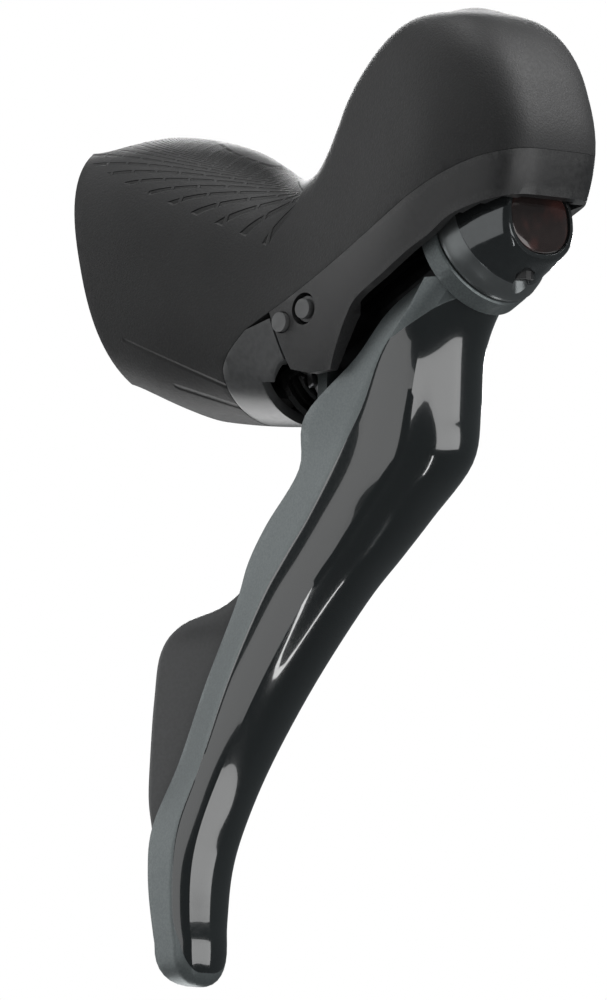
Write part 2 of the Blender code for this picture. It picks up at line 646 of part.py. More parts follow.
def carrier(materials, body):
    """Forged block between the two axles, with the arm that pushes the piston and the boss of the reach screw."""
    start, end = CARRIER_SLEEVE
    made = rod("lever_carrier", on_shift_axle(end), on_shift_axle(start), 6.5, materials["black_metal"], body)
    hub = rod("brake_hub", (-9.5, *BRAKE_AXLE), (9.5, *BRAKE_AXLE), 5.2)
    pin = thrust_pin()
    arm = new_object("thrust_arm", prism_mesh("thrust_arm", tangent_outline(BRAKE_AXLE, 5.0, pin, 2.4), -5.2, 5.2))
    web_points = (on_shift_axle(10, 4.5), on_shift_axle(30, 9.5), on_shift_axle(37, 6), on_shift_axle(30, 0))
    web = [(y, z) for _, y, z in web_points]
    web_solid = new_object("carrier_web", prism_mesh("carrier_web", web, -4.5, 4.5))
    reach_boss = rod("reach_boss", on_shift_axle(17, 3), on_shift_axle(17, 9), 3.6, steps=16)
    combine(made, "UNION", hub, arm, web_solid, reach_boss)
    backwards = Vector(on_shift_axle(1)) - Vector(on_shift_axle(0))
    shift_steps = ((0, 4.2), (5 + 11, AXLE_RADIUS + 0.2), (5 + 36.6, 4.0), (60, 4.0))
    slot = tangent_outline(pin, 3.5, (pin[0] - 3, pin[1] + 5), 5.0)
    cuts = [
        rod("reach_bore", on_shift_axle(17, 4.9), on_shift_axle(17, 20), 2.3, steps=16),
        new_object("roller_slot", prism_mesh("roller_slot", slot, -2.5, 2.5)),
        rod("roller_pin_bore", (-9, *pin), (9, *pin), 1.35, steps=12),
        stepped_bore("shift_bore", on_shift_axle(-5), backwards, shift_steps),
        rod("hub_bore", (-12, *BRAKE_AXLE), (12, *BRAKE_AXLE), AXLE_RADIUS + 0.2, steps=22),
    ]
    combine(made, "DIFFERENCE", *cuts)
    sleeve("thrust_roller", (-2.2, *pin), (2.2, *pin), 3.0, 1.35, materials["steel"], body)
    rod("roller_pin", (-5.0, *pin), (5.0, *pin), 1.1, materials["steel"], body, steps=12)
    low, high = 5.2, 10.0
    profile = ((0, 3.8), (1.0, 3.8), (1.0, 4.8), (2.0, 4.8), (2.0, 0), (0, 0))
    upward = Vector(on_shift_axle(17, high)) - Vector(on_shift_axle(17, low))
    turned("reach_screw", profile, on_shift_axle(17, low), upward, materials["steel"], body, steps=16)
    return made


def tangent_outline(a, radius_a, b, radius_b, steps=8):
    """The outline round two circles, as a list of (y, z)."""
    heading = math.atan2(b[1] - a[1], b[0] - a[0])
    points = []
    for centre, radius, start in ((b, radius_b, heading - math.pi / 2), (a, radius_a, heading + math.pi / 2)):
        for i in range(steps + 1):
            turn = start + math.pi * i / steps
            points.append((centre[0] + radius * math.cos(turn), centre[1] + radius * math.sin(turn)))
    return points


# ---------------------------------------------------------------- shift axle and head


def shift_axle_parts(materials, body):
    axis = Vector(on_shift_axle(-1)) - Vector(on_shift_axle(0))
    rear = AXLE_NUT[1] + 1.0
    front = 8.0
    length = rear + front
    profile = ((0, length), (AXLE_RADIUS, length), (AXLE_RADIUS, 3.6), (1.6, 3.6), (1.6, 0), (0, 0))
    turned("shift_axle", profile, on_shift_axle(rear), axis, materials["steel"], body)
    nut_ends = on_shift_axle(AXLE_NUT[1]), on_shift_axle(AXLE_NUT[0])
    sleeve("axle_nut", *nut_ends, 3.6, 1.9, materials["steel"], body, steps=6)
    bushes = (("shift_bush_front", 5.0, 10.6, 3.95), ("shift_bush_rear", 36.9, 38.6, 3.75))
    for name, low, high, outer in bushes:
        sleeve(name, on_shift_axle(high), on_shift_axle(low), outer, AXLE_RADIUS + 0.15, materials["bronze"], body)


def ellipse_ring(centre, across, up, width, height, count, power=2.0):
    ring = []
    for i in range(count):
        turn = 2 * math.pi * i / count
        c, s = math.cos(turn), math.sin(turn)
        x = math.copysign(abs(c) ** (2 / power), c) * width
        z = math.copysign(abs(s) ** (2 / power), s) * height
        ring.append(Vector(centre) + Vector(across) * x + Vector(up) * z)
    return ring


def head(materials, body):
    """Conical head in front of the blade's ring, with a blank plate let into its flat front."""
    tilted = Vector(on_shift_axle(0, 1)) - Vector(on_shift_axle(0))
    upright = Vector((0, 0.1, 1)).normalized()
    rings = []
    for back, width in ((-0.4, RING_RADIUS - 0.5), (-1.4, RING_RADIUS), (-5.5, RING_RADIUS - 1.4)):
        rings.append(ellipse_ring(on_shift_axle(back), (1, 0, 0), tilted, width, width, 32))
    for y, z, width, height in ((-97.5, 3.2, 10.7, 9.4), (-101.2, 4.2, 9.5, 8.5), (-102.7, 4.4, 8.8, 7.9)):
        rings.append(ellipse_ring((0, y, z), (1, 0, 0), upright, width, height, 32, 2.3))
    made = new_object("cone_head", loft_mesh("cone_head", rings), materials["grey_gloss"], body)
    plate_rings = [ellipse_ring((0, y, 4.5), (1, 0, 0), upright, 7.9, 6.9, 32, 2.3) for y in (-101.4, -102.5)]
    pocket_rings = [ellipse_ring((0, y, 4.5), (1, 0, 0), upright, 8.2, 7.2, 32, 2.3) for y in (-101.1, -105)]
    cuts = [
        new_object("plate_pocket", loft_mesh("plate_pocket", pocket_rings)),
        rod("head_bore", on_shift_axle(-8.5), on_shift_axle(5), AXLE_RADIUS + 0.2),
        rod("plate_screw_bore", (0, -98, -14), (0, -98, -1.5), 1.3, steps=12),
        rod("plate_screw_room", (0, -98, -14), (0, -98, -5.0), 2.4, steps=12),
    ]
    combine(made, "DIFFERENCE", *cuts)
    new_object("name_plate", loft_mesh("name_plate", plate_rings), materials["name_plate"], body)
    profile = ((0, 5.0), (1.0, 5.0), (1.0, 1.5), (2.0, 1.5), (2.0, 0), (0.8, 0), (0.8, 0.6), (0, 0.6))
    turned("name_plate_screw", profile, (0, -98, -6.8), (0, 0, 1), materials["steel"], body, steps=12)
    return made


# ---------------------------------------------------------------- blade and paddle


def smooth_path(points, steps):
    """Points of a Catmull-Rom curve through the given points, steps of them to each stretch."""
    vectors = [Vector(p) for p in points]
    ends = [2 * vectors[0] - vectors[1], *vectors, 2 * vectors[-1] - vectors[-2]]
    path = []
    for a, b, c, d in zip(ends, ends[1:], ends[2:], ends[3:]):
        for i in range(steps):
            t = i / steps
            path.append(
                0.5 * (2 * b + (c - a) * t + (2 * a - 5 * b + 4 * c - d) * t**2 + (3 * b - a - 3 * c + d) * t**3)
            )
    return path + [vectors[-1]]


def blade_outline(station, steps):
    """Half-open outline of a section, from the flank's rear edge round the front to the inner edge."""
    flank, crease, nose, inner = (Vector(p) for p in station[1:])
    front = Vector((crease.x + 0.5 * (nose.x - crease.x), nose.y - 0.12 * (nose.x - crease.x)))
    shoulder = Vector((crease.x + 0.14 * (nose.x - crease.x), crease.y + 0.66 * (front.y - crease.y)))
    return smooth_path((crease, shoulder, front, nose, inner), steps), flank


def blade_ring(station, steps=3):
    curve, flank = blade_outline(station, steps)
    return [Vector((p.x, p.y, station[0])) for p in [flank, *curve]]


def channel_ring(station, wall, steps=3):
    """The same outline a wall thickness further in, reaching out at the rear."""
    curve, flank = blade_outline(station, steps)
    points = [flank, *curve]
    moved = []
    for i, p in enumerate(points):
        before, after = points[max(i - 1, 0)], points[min(i + 1, len(points) - 1)]
        along = (after - before).normalized()
        moved.append(p + Vector((-along.y, along.x)) * wall)
    moved[0] += Vector((0, 12))
    moved[-1] += Vector((0, 20))
    return [Vector((p.x, p.y, station[0])) for p in moved]


def blade(materials, body):
    """Shift and brake blade: hollow behind, with a ring round the axle's front and a lug at its rear."""
    rings = [blade_ring(s) for s in BLADE_STATIONS]
    made = new_object("shift_blade", loft_mesh("shift_blade", rings), materials["blade"], body)
    hollow = [channel_ring(s, BLADE_WALL) for s in BLADE_STATIONS if s[0] > CHANNEL_END]
    above = [p + Vector((0, 0, 9)) for p in hollow[0]]
    channel = new_object("blade_channel", loft_mesh("blade_channel", [above, *hollow]))
    rooms = (
        rod("carrier_room", on_shift_axle(4.4), on_shift_axle(39.6), 8.0),
        rod("head_room", on_shift_axle(0), on_shift_axle(-9), RING_RADIUS + 0.5, steps=32),
    )
    combine(made, "DIFFERENCE", channel, *rooms)
    hub = rod("blade_hub", on_shift_axle(BLADE_HUB[1]), on_shift_axle(BLADE_HUB[0]), RING_RADIUS, steps=32)
    lug = rod("blade_lug", on_shift_axle(BLADE_LUG[1]), on_shift_axle(BLADE_LUG[0]), 5.5)
    combine(made, "UNION", hub, lug, blade_web())
    combine(made, "DIFFERENCE", rod("blade_bore", on_shift_axle(-3), on_shift_axle(60), AXLE_RADIUS + 1.2))
    for name, (low, high) in (("blade_bush", BLADE_HUB), ("blade_lug_bush", BLADE_LUG)):
        ends = on_shift_axle(high), on_shift_axle(low)
        sleeve(name, *ends, AXLE_RADIUS + 1.0, AXLE_RADIUS + 0.15, materials["bronze"], body)
    return made


def blade_web():
    """Plate across the channel that joins the flank to the rear lug."""
    outline = ((-3, 4), (-6, 1), (-11.2, -10.0), (-11.2, -14.5), (-7, -12.5), (-2, -5))
    rings = [[on_shift_axle(back, h, x) for x, h in outline] for back in BLADE_LUG]
    return new_object("blade_web", loft_mesh("blade_web", rings, smooth=False))


def paddle(materials, body):
    """Release paddle behind the blade, on a curved stem inside the channel."""
    rings = []
    for z, front, rear, thickness in PADDLE_STATIONS:
        centre = (Vector(front) + Vector(rear)) / 2
        along = Vector(rear) - Vector(front)
        half = along.length / 2
        along.normalize()
        across = Vector((along.y, -along.x, 0))
        lengthways = Vector((along.x, along.y, 0))
        rings.append(ellipse_ring((*centre, z), across, lengthways, thickness / 2, half, 16, 2.8))
    made = new_object("shift_paddle", loft_mesh("shift_paddle", rings), materials["paddle"], body)
    ahead, behind = PADDLE_LUG
    rooms = (
        rod("paddle_room_ahead", on_shift_axle(20), on_shift_axle(ahead + 0.2), 9.0),
        rod("paddle_room_behind", on_shift_axle(behind - 0.2), on_shift_axle(60), 9.5),
    )
    combine(made, "DIFFERENCE", *rooms)
    combine(made, "UNION", rod("paddle_lug", on_shift_axle(behind), on_shift_axle(ahead), 5.2))
    bore = rod("paddle_bore", on_shift_axle(20), on_shift_axle(60), AXLE_RADIUS + GAP, steps=24)
    return combine(made, "DIFFERENCE", bore)


# ---------------------------------------------------------------- shift mechanism


def shift_mechanism(materials, carrier_body, drum_body):
    """Ratchet wheel and cable drum on the axle's rear, with a half cover over them."""
    low, high = DRUM
    width = high - low
    profile = (
        (AXLE_RADIUS + GAP, width), (7.0, width), (7.0, width - 0.7), (5.6, width - 1.2), (5.6, 1.2), (7.0, 0.7),
        (7.0, 0), (AXLE_RADIUS + GAP, 0),
    )
    axis = Vector(on_shift_axle(-1)) - Vector(on_shift_axle(0))
    turned("cable_drum", profile, on_shift_axle(high), axis, materials["black_gloss"], drum_body)
    ratchet(materials, drum_body)
    start, end = UNIT_COVER
    depth = end - start
    cup = (
        (AXLE_RADIUS + 0.2, 1.0), (7.3, 1.0), (7.3, depth), (8.3, depth), (8.3, 0), (AXLE_RADIUS + 0.2, 0),
    )
    cover = turned("unit_cover", cup, on_shift_axle(end), axis, materials["black_gloss"], carrier_body)
    lower_half = [on_shift_axle(b, h) for b, h in ((30, 0.6), (end - 1.3, 0.6), (end - 1.3, -20), (30, -20))]
    return combine(cover, "DIFFERENCE", zone("cover_lower_half", [(y, z) for _, y, z in lower_half]))


def ratchet(materials, body, teeth=12):
    """A flat wheel with sloping teeth."""
    outline = []
    for i in range(teeth):
        turn = 2 * math.pi * i / teeth
        step = 2 * math.pi / teeth
        for angle, radius in ((turn, 5.6), (turn + 0.75 * step, 6.9), (turn + 0.85 * step, 6.9)):
            outline.append((radius * math.cos(angle), radius * math.sin(angle)))
    rings = [[on_shift_axle(back, h, x) for x, h in outline] for back in RATCHET]
    made = new_object("ratchet_wheel", loft_mesh("ratchet_wheel", rings, smooth=False), materials["steel"], body)
    bore = rod("ratchet_bore", on_shift_axle(40), on_shift_axle(55), AXLE_RADIUS + GAP)
    return combine(made, "DIFFERENCE", bore)


def cable_guide(materials):
    """Tube in the bracket that leads the shift cable out backwards."""
    sleeve("cable_guide", in_port(CABLE_PORT, 18), in_port(CABLE_PORT), 2.5, 1.4, materials["plastic"], steps=16)


# ---------------------------------------------------------------- everything


def main():
    clear_scene()
    materials = {
        "composite": new_material("bracket_composite", (0.045, 0.045, 0.045), 0.0, 0.5),
        "rubber": new_material("hood_rubber", (0.04, 0.04, 0.04), 0.0, 0.75),
        "plastic": new_material("cover_plastic", (0.12, 0.12, 0.12), 0.0, 0.35),
        "aluminium": new_material("aluminium", (0.6, 0.6, 0.6), 1.0, 0.35),
        "steel": new_material("steel", (0.45, 0.45, 0.45), 1.0, 0.35),
        "spring": new_material("spring_steel", (0.3, 0.3, 0.3), 1.0, 0.3),
        "bronze": new_material("bush_bronze", (0.45, 0.3, 0.15), 1.0, 0.4),
        "black_metal": new_material("black_metal", (0.02, 0.02, 0.02), 0.6, 0.4),
        "black_gloss": new_material("black_gloss", (0.01, 0.01, 0.01), 0.0, 0.15),
        "grey_gloss": new_material("head_gloss", (0.1, 0.1, 0.1), 0.6, 0.15),
        "name_plate": new_material("plate_gloss", (0.08, 0.04, 0.04), 0.4, 0.1),
        "blade": new_material("blade_paint", (0.12, 0.13, 0.13), 0.7, 0.3),
        "paddle": new_material("paddle_paint", (0.09, 0.09, 0.09), 0.4, 0.45),
    }
    shift_direction = Vector(on_shift_axle(0)) - Vector(on_shift_axle(1))
    cylinder_direction = Vector(in_cylinder(1)) - Vector(in_cylinder(0))
    carrier_body = pivot("brake_pivot", (0, *BRAKE_AXLE), (1, 0, 0))
    blade_body = pivot("blade_pivot", on_shift_axle(0), shift_direction, carrier_body)
    paddle_body = pivot("paddle_pivot", on_shift_axle(PADDLE_LUG[0]), shift_direction, blade_body)
    drum_body = pivot("drum_pivot", on_shift_axle(DRUM[0]), shift_direction, carrier_body)
    piston_body = pivot("piston_slide", in_cylinder(CYLINDER_START), cylinder_direction)
    bracket(materials)
    hood(materials)
    lower_cover(materials)
    clamp(materials)
    hydraulics(materials, piston_body)
    brake_pivot(materials, carrier_body)
    carrier(materials, carrier_body)
    shift_axle_parts(materials, carrier_body)
    head(materials, carrier_body)
    blade(materials, blade_body)
    paddle(materials, paddle_body)
    shift_mechanism(materials, carrier_body, drum_body)
    cable_guide(materials)


main()
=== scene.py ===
"""Looks of the right-hand brake and shift lever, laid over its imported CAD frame.

-Y is forwards, +Z is up and -X is the outer side. Sizes in the tables are millimetres, and MM turns them into
metres. The shells, the blade, the paddle and the head are made again in finer form. The other pieces stay as
the CAD made them and get their surfaces here.
"""

import json
import math

import bmesh
import bpy
from mathutils import Matrix, Vector


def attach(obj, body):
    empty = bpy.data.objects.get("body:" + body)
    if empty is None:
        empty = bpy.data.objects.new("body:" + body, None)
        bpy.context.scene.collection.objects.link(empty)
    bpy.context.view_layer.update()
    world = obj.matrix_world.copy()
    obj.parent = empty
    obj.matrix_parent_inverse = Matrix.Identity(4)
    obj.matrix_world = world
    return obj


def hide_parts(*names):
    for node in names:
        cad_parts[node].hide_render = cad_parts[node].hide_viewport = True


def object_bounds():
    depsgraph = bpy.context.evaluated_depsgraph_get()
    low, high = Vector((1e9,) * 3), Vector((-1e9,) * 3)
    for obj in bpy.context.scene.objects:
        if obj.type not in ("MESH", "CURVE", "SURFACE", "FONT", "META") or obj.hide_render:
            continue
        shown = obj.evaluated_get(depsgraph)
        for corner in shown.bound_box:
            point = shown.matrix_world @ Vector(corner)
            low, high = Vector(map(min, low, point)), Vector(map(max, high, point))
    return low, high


MM = 0.001

# Camera and stage
VIEW_AZIMUTH = -45.0
VIEW_ELEVATION = -6.0
FRAME_HEIGHT = 192.3
CAMERA_DISTANCE = 5000.0
AIM_RIGHT = 27.6
AIM_UP = -41.3
FLOOR_DROP = 950.0

# Places the finer pieces share with the CAD
BAR_RADIUS = 12.0
BAR_LEAN = 12.0
BRAKE_AXLE = (-54.0, -10.0)
REST_PIN = (-48.3, -12.2)
THRUST_PIN = (-47.0, 2.1)
CYLINDER_TILT = 30.0
CYLINDER_REACH = (8.0, 46.5)
CYLINDER_ROOM = 5.8
HOSE_PORT = (-5.5, 7.0)
CABLE_PORT = (7.5, 6.0)
CLAMP_BOLT_X = -15.2
RESERVOIR_REACH = (-97.0, -77.0)
RESERVOIR_FLOOR = 32.6
LID_SCREWS = ((-8.6, -91.0), (-8.6, -80.0), (8.6, -91.0), (8.6, -80.0))
AXLE_RADIUS = 2.5
SHIFT_RING = (-87.5, 0.0)
SHIFT_TILT = 27.0
RING_RADIUS = 12.4
HOOD_THICKNESS = 2.5
COVER_THICKNESS = 2.0
CORE_INSET = 2.8
SEAM_GAP = 0.08
RECESS_CENTRE = (-50.5, -25.0)
RECESS_RADIUS = 6.2

# The body's stations, from the handlebar forwards and up to the top of the horn: top (y, z), bottom (y, z),
# distance of the lower and the upper side, angle of the lower side, squareness of the corners
BODY_STATIONS = (
    (6.4, 28.6, -5.8, -24.4, 20.3, 21.2, -13.0, 2.7),
    (-9.0, 28.2, -15.0, -27.6, 19.2, 20.2, -13.0, 2.8),
    (-24.0, 25.2, -28.0, -30.0, 17.8, 17.4, -13.0, 2.6),
    (-36.0, 19.0, -41.0, -31.0, 16.6, 14.4, -13.0, 2.7),
    (-43.0, 17.6, -54.0, -31.0, 16.2, 13.2, -13.0, 3.2),
    (-48.5, 19.4, -70.0, -27.0, 16.3, 13.2, -14.0, 4.2),
    (-52.0, 22.4, -90.0, -14.0, 17.0, 13.8, -16.0, 6.0),
    (-55.0, 25.8, -104.0, 3.0, 17.8, 14.4, -18.0, 8.5),
    (-58.5, 30.0, -108.3, 17.0, 18.1, 15.0, -19.0, 9.0),
    (-63.2, 35.5, -106.0, 29.0, 17.1, 14.4, -19.0, 6.5),
    (-69.2, 40.7, -101.6, 37.6, 15.1, 13.0, -18.0, 4.6),
    (-75.6, 44.2, -96.0, 43.0, 11.2, 10.4, -15.0, 3.4),
    (-82.6, 45.6, -89.6, 45.4, 4.6, 4.4, -13.0, 2.4),
)
BODY_TOP = (-86.0, 46.2)
UPPER_SIDE_ANGLE = 14.0
BODY_COUNT = 112
BODY_STEPS = 6

# Edges on the body's side, as (y, z)
SEAM = ((-45.0, -10.0), (-82.8, 9.0), (-91.5, 12.6), (-99.8, 15.4), (-108.0, 16.9), (-125.0, 18.0))
COVER_EDGE = ((-45.0, -10.0), (-39.0, -13.0), (-33.5, -18.0), (-31.5, -22.5), (-31.0, -36.0))
EAR_REAR = ((-45.0, -10.0), (-49.7, -21.2))
LEVER_OPENING = (
    (-49.7, -21.2), (-54.4, -22.3), (-59.8, -22.0), (-65.0, -13.2), (-68.2, -9.2), (-75.5, -5.1),
    (-82.3, -1.2), (-87.7, 1.5), (-92.8, 4.8), (-99.5, 7.0), (-106.0, 8.3), (-125.0, 9.0),
)

# The bracket's cavity under the horn: its ceiling as (y, z), half-width, and narrower rooms (front, rear,
# half-width) in the lip
CAVITY_TOP = 13.6
CAVITY_CEILING = ((-94.0, CAVITY_TOP), (-84.0, CAVITY_TOP), (-70.0, 5.0), (-66.0, 3.0))
CAVITY_HALF_WIDTH = 13.3
LIP_ROOMS = ((-98.6, -94.0, 12.2), (-103.3, -98.6, 10.9), (-104.4, -103.3, 7.0))
AXLE_ROOM = ((-66.5, 3.2), (-60.0, 0.5), (-49.0, 0.5))
AXLE_ROOM_HALF_WIDTH = 11.6
# The round room that the carrier swings in, as (half-width, radius), and the bosses beside it
SWING_ROOM = (10.8, 22.6)
AXLE_BOSS = (9.9, 12.0)
AXLE_BOSS_RADIUS = 6.6
# Below everything, and how far the shell's inner form runs out at the rear
WELL_BELOW = -50.0
REAR_OVERRUN = 4.0

# The grip's grooves on the hood's side: lines run from the centre (y, z) back to a sloping limit, bowed upwards
FAN_CENTRE = (-50.7, 13.0)
FAN_SLOPE = 0.424
FAN_REACH = 13.4
FAN_BOW = 6.0
FAN_SPACING = 5.6
GROOVE_HALF_WIDTH = 0.24
DASH_LENGTH = 5.2
# Lines under the grip: where each starts, and its slope forwards
BELLY_LINES = ((-8.8, -12.6, 0.46), (-17.7, -21.8, 0.36))

# The blade's horizontal sections, from the head down: z, then (x, y) of the flank's rear edge,
# of the crease between flank and front, of the nose and of the inner edge
BLADE_STATIONS = (
    (-6.0, -9.0, -80.5, -11.5, -83.0, 8.0, -89.5, 11.0, -81.5),
    (-12.0, -10.6, -72.0, -12.2, -79.0, 7.5, -84.0, 11.6, -73.0),
    (-20.0, -11.3, -64.3, -12.2, -72.0, 6.5, -81.3, 11.2, -67.5),
    (-30.0, -11.0, -50.4, -12.4, -67.0, 7.0, -79.9, 11.0, -66.0),
    (-40.0, -10.5, -48.3, -12.6, -60.0, 6.0, -78.6, 10.0, -64.0),
    (-50.0, -10.5, -39.5, -12.8, -52.8, 4.5, -69.2, 8.3, -58.0),
    (-57.0, -11.0, -35.1, -13.2, -47.0, 3.0, -62.7, 6.3, -53.0),
    (-65.0, -12.2, -32.9, -14.2, -41.7, 1.5, -54.9, 4.5, -46.5),
    (-80.0, -14.2, -26.7, -16.4, -35.0, -2.0, -44.4, 0.8, -37.5),
    (-95.0, -17.0, -22.3, -19.2, -30.9, -5.5, -36.2, -3.0, -30.5),
    (-107.0, -20.5, -18.8, -22.0, -27.5, -9.0, -32.5, -6.5, -27.0),
    (-116.0, -22.3, -19.3, -23.2, -27.0, -10.5, -30.4, -8.5, -25.0),
    (-126.0, -22.8, -20.9, -23.6, -27.5, -12.0, -30.5, -10.0, -25.5),
    (-133.0, -22.3, -22.5, -22.8, -28.5, -13.2, -31.2, -11.8, -27.0),
    (-138.3, -19.6, -26.0, -19.8, -28.5, -16.0, -29.5, -15.6, -27.5),
)
BLADE_WALL = 2.2
# The lacquered inlay: its end, middle and half-width are places round the section, where 1 is the crease and
# 3 the inner edge; its top and bottom are heights, and each one bends by its arch
INLAY_END = 2.62
INLAY_MIDDLE = 1.85
INLAY_HALF_WIDTH = 0.8
INLAY_TOP = -9.4
INLAY_TOP_ARCH = 7.0
INLAY_BOTTOM = -135.8
INLAY_BOTTOM_ARCH = 7.5
# The blade's round end, and how squarely it closes
TIP_START = -130.2
TIP_END = -138.3
TIP_SHARPNESS = 2.4
BLADE_STEPS = 6
# How far down the blade is hollow, and the room cut in it for the carrier
CHANNEL_END = -96.0
CARRIER_ROOM = (4.4, 39.6)
CARRIER_ROOM_RADIUS = 8.0
# The web between the blade and its rear lug, as (x, height over the shift axle)
WEB = ((-3, 4), (-6, 1), (-11.2, -10.0), (-11.2, -14.5), (-7, -12.5), (-2, -5))

# The paddle's horizontal sections: z, front edge (x, y), rear edge (x, y), thickness
PADDLE_STATIONS = (
    (-18.0, -1.0, -51.5, -1.0, -46.5, 5.0),
    (-26.0, -1.5, -53.0, -1.5, -48.6, 5.0),
    (-34.0, -2.5, -54.0, -2.5, -49.6, 4.6),
    (-42.0, -3.5, -52.0, -3.5, -46.5, 4.0),
    (-50.0, -4.7, -47.0, -5.4, -40.5, 3.4),
    (-58.0, -5.7, -42.0, -7.8, -35.5, 2.8),
    (-64.5, -6.4, -38.5, -10.2, -28.5, 2.4),
    (-68.0, -6.8, -36.5, -13.2, -19.5, 2.6),
    (-73.0, -7.4, -34.5, -13.8, -14.4, 2.6),
    (-82.0, -8.8, -30.5, -14.8, -13.6, 2.6),
    (-92.0, -11.6, -25.5, -16.0, -13.8, 2.6),
    (-101.0, -15.4, -20.0, -17.2, -14.6, 2.6),
    (-107.5, -17.0, -19.0, -17.8, -16.2, 2.2),
)

# Places along the shift axle, measured backwards from the head's ring
BLADE_HUB = (0.1, 4.3)
BLADE_LUG = (39.9, 42.7)
PADDLE_LUG = (43.1, 45.4)
# Width of the satin band on the head, measured forwards from the ring
HEAD_BAND = 5.2

# The head: rings about the shift axle as (distance behind the blade's ring, radius), then rings towards the
# flat front as (y, z, half-width, half-height)
HEAD_ROUND_RINGS = ((-0.15, 11.8), (-0.5, 12.15), (-1.0, 12.3), (-1.4, 12.4), (-3.4, 12.0), (-5.5, 11.3))
HEAD_FRONT_RINGS = (
    (-97.5, 3.2, 10.7, 9.4), (-101.2, 4.2, 9.5, 8.5), (-102.3, 4.35, 9.0, 8.1), (-102.7, 4.4, 8.6, 7.7),
)
# The blank plate in the head's front: its middle, the size of its pocket, and its crowned rings as
# (y, half-width, half-height)
PLATE_HEIGHT = 4.5
PLATE_POCKET = (7.9, 7.0)
PLATE_RINGS = (
    (-101.45, 7.6, 6.7), (-102.3, 7.6, 6.7), (-102.45, 7.3, 6.4), (-102.5, 5.5, 4.6), (-102.52, 2.5, 2.0),
)
FRONT_POWER = 2.3
PLATE_SCREW_Y = -98


# ---------------------------------------------------------------- camera, light and floor


def view_axes():
    """Unit vectors out of the picture, to its right and up it."""
    a, e = math.radians(VIEW_AZIMUTH), math.radians(VIEW_ELEVATION)
    back = Vector((math.sin(a) * math.cos(e), -math.cos(a) * math.cos(e), math.sin(e)))
    right = Vector((math.cos(a), math.sin(a), 0))
    return back, right, back.cross(right)


def make_camera():
    back, right, up = view_axes()
    data = bpy.data.cameras.new("camera")
    data.sensor_width = 36.0
    data.lens = data.sensor_width * CAMERA_DISTANCE / FRAME_HEIGHT
    data.clip_start = 1.0
    data.clip_end = 40.0
    camera = bpy.data.objects.new("camera", data)
    bpy.context.scene.collection.objects.link(camera)
    camera.location = (right * AIM_RIGHT + up * AIM_UP + back * CAMERA_DISTANCE) * MM
    camera.rotation_mode = "QUATERNION"
    camera.rotation_quaternion = back.to_track_quat("Z", "Y")
    bpy.context.scene.camera = camera


def towards(azimuth, elevation):
    """A direction by its angle from straight ahead round to the outer side, and its angle above level."""
    a, e = math.radians(azimuth), math.radians(elevation)
    return Vector((-math.sin(a) * math.cos(e), -math.cos(a) * math.cos(e), math.sin(e)))


def area_light(name, aim, azimuth, elevation, distance, size, power):
    """A soft rectangular light that faces the point aim; lengths are millimetres."""
    data = bpy.data.lights.new(name, "AREA")
    data.shape = "RECTANGLE"
    data.size, data.size_y = size[0] * MM, size[1] * MM
    data.energy = power
    lamp = bpy.data.objects.new(name, data)
    bpy.context.scene.collection.objects.link(lamp)
    direction = towards(azimuth, elevation)
    lamp.location = (Vector(aim) + direction * distance) * MM
    lamp.rotation_mode = "QUATERNION"
    lamp.rotation_quaternion = direction.to_track_quat("Z", "Y")
    lamp.visible_camera = False


def make_lights():
    """Each softbox stands where the glossy blade, or an edge of the hood, mirrors it towards the camera."""
    area_light("front_softbox", (0, -80, -40), 3, -7, 900, (1450, 460), 5.0)
    area_light("facet_card", (-12, -70, -40), 103, 7, 900, (700, 900), 2.0)
    area_light("flank_softbox", (-12, -50, -70), 155, 8, 900, (520, 900), 2.2)
    area_light("low_strip", (-8, -50, -80), 44, -38, 900, (34, 420), 0.35)
    area_light("key", (0, -90, 20), -42, 42, 900, (500, 500), 9.0)
    area_light("overhead", (0, -60, 20), 110, 72, 900, (900, 700), 7.5)
    area_light("rear_rim", (0, -20, 0), 222, 20, 900, (500, 500), 9.0)
    area_light("floor_bounce", (0, -40, -20), 200, -42, 900, (700, 600), 4.0)


def make_world():
    """White behind the object, and a dim grey room for light and reflections."""
    world = bpy.data.worlds.new("studio")
    bpy.context.scene.world = world
    world.use_nodes = True
    tree = world.node_tree
    tree.nodes.clear()
    out = tree.nodes.new("ShaderNodeOutputWorld")
    mix = tree.nodes.new("ShaderNodeMixShader")
    rays = tree.nodes.new("ShaderNodeLightPath")
    room = tree.nodes.new("ShaderNodeBackground")
    white = tree.nodes.new("ShaderNodeBackground")
    room.inputs["Color"].default_value = (0.85, 0.92, 0.95, 1)
    room.inputs["Strength"].default_value = 0.10
    white.inputs["Color"].default_value = (1, 1, 1, 1)
    tree.links.new(rays.outputs["Is Camera Ray"], mix.inputs["Fac"])
    tree.links.new(room.outputs[0], mix.inputs[1])
    tree.links.new(white.outputs[0], mix.inputs[2])
    tree.links.new(mix.outputs[0], out.inputs["Surface"])
    bpy.context.scene.view_settings.view_transform = "Standard"


def make_floor(lowest):
    """A wide sheet of paper far below the object, out of its reflections."""
    bm = bmesh.new()
    bmesh.ops.create_grid(bm, x_segments=1, y_segments=1, size=3.0)
    mesh = bpy.data.meshes.new("floor")
    bm.to_mesh(mesh)
    bm.free()
    floor = bpy.data.objects.new("floor", mesh)
    bpy.context.scene.collection.objects.link(floor)
    floor.location = (0, 0, lowest - FLOOR_DROP * MM)
    floor.visible_glossy = False
    material, shader, build = new_material("floor_paper", (0.80, 0.80, 0.80), 0.0, 0.9)
    build.bump(shader, build.noise(40.0, 3.0), 0.02, 0.001)
    mesh.materials.append(material)


# ---------------------------------------------------------------- materials


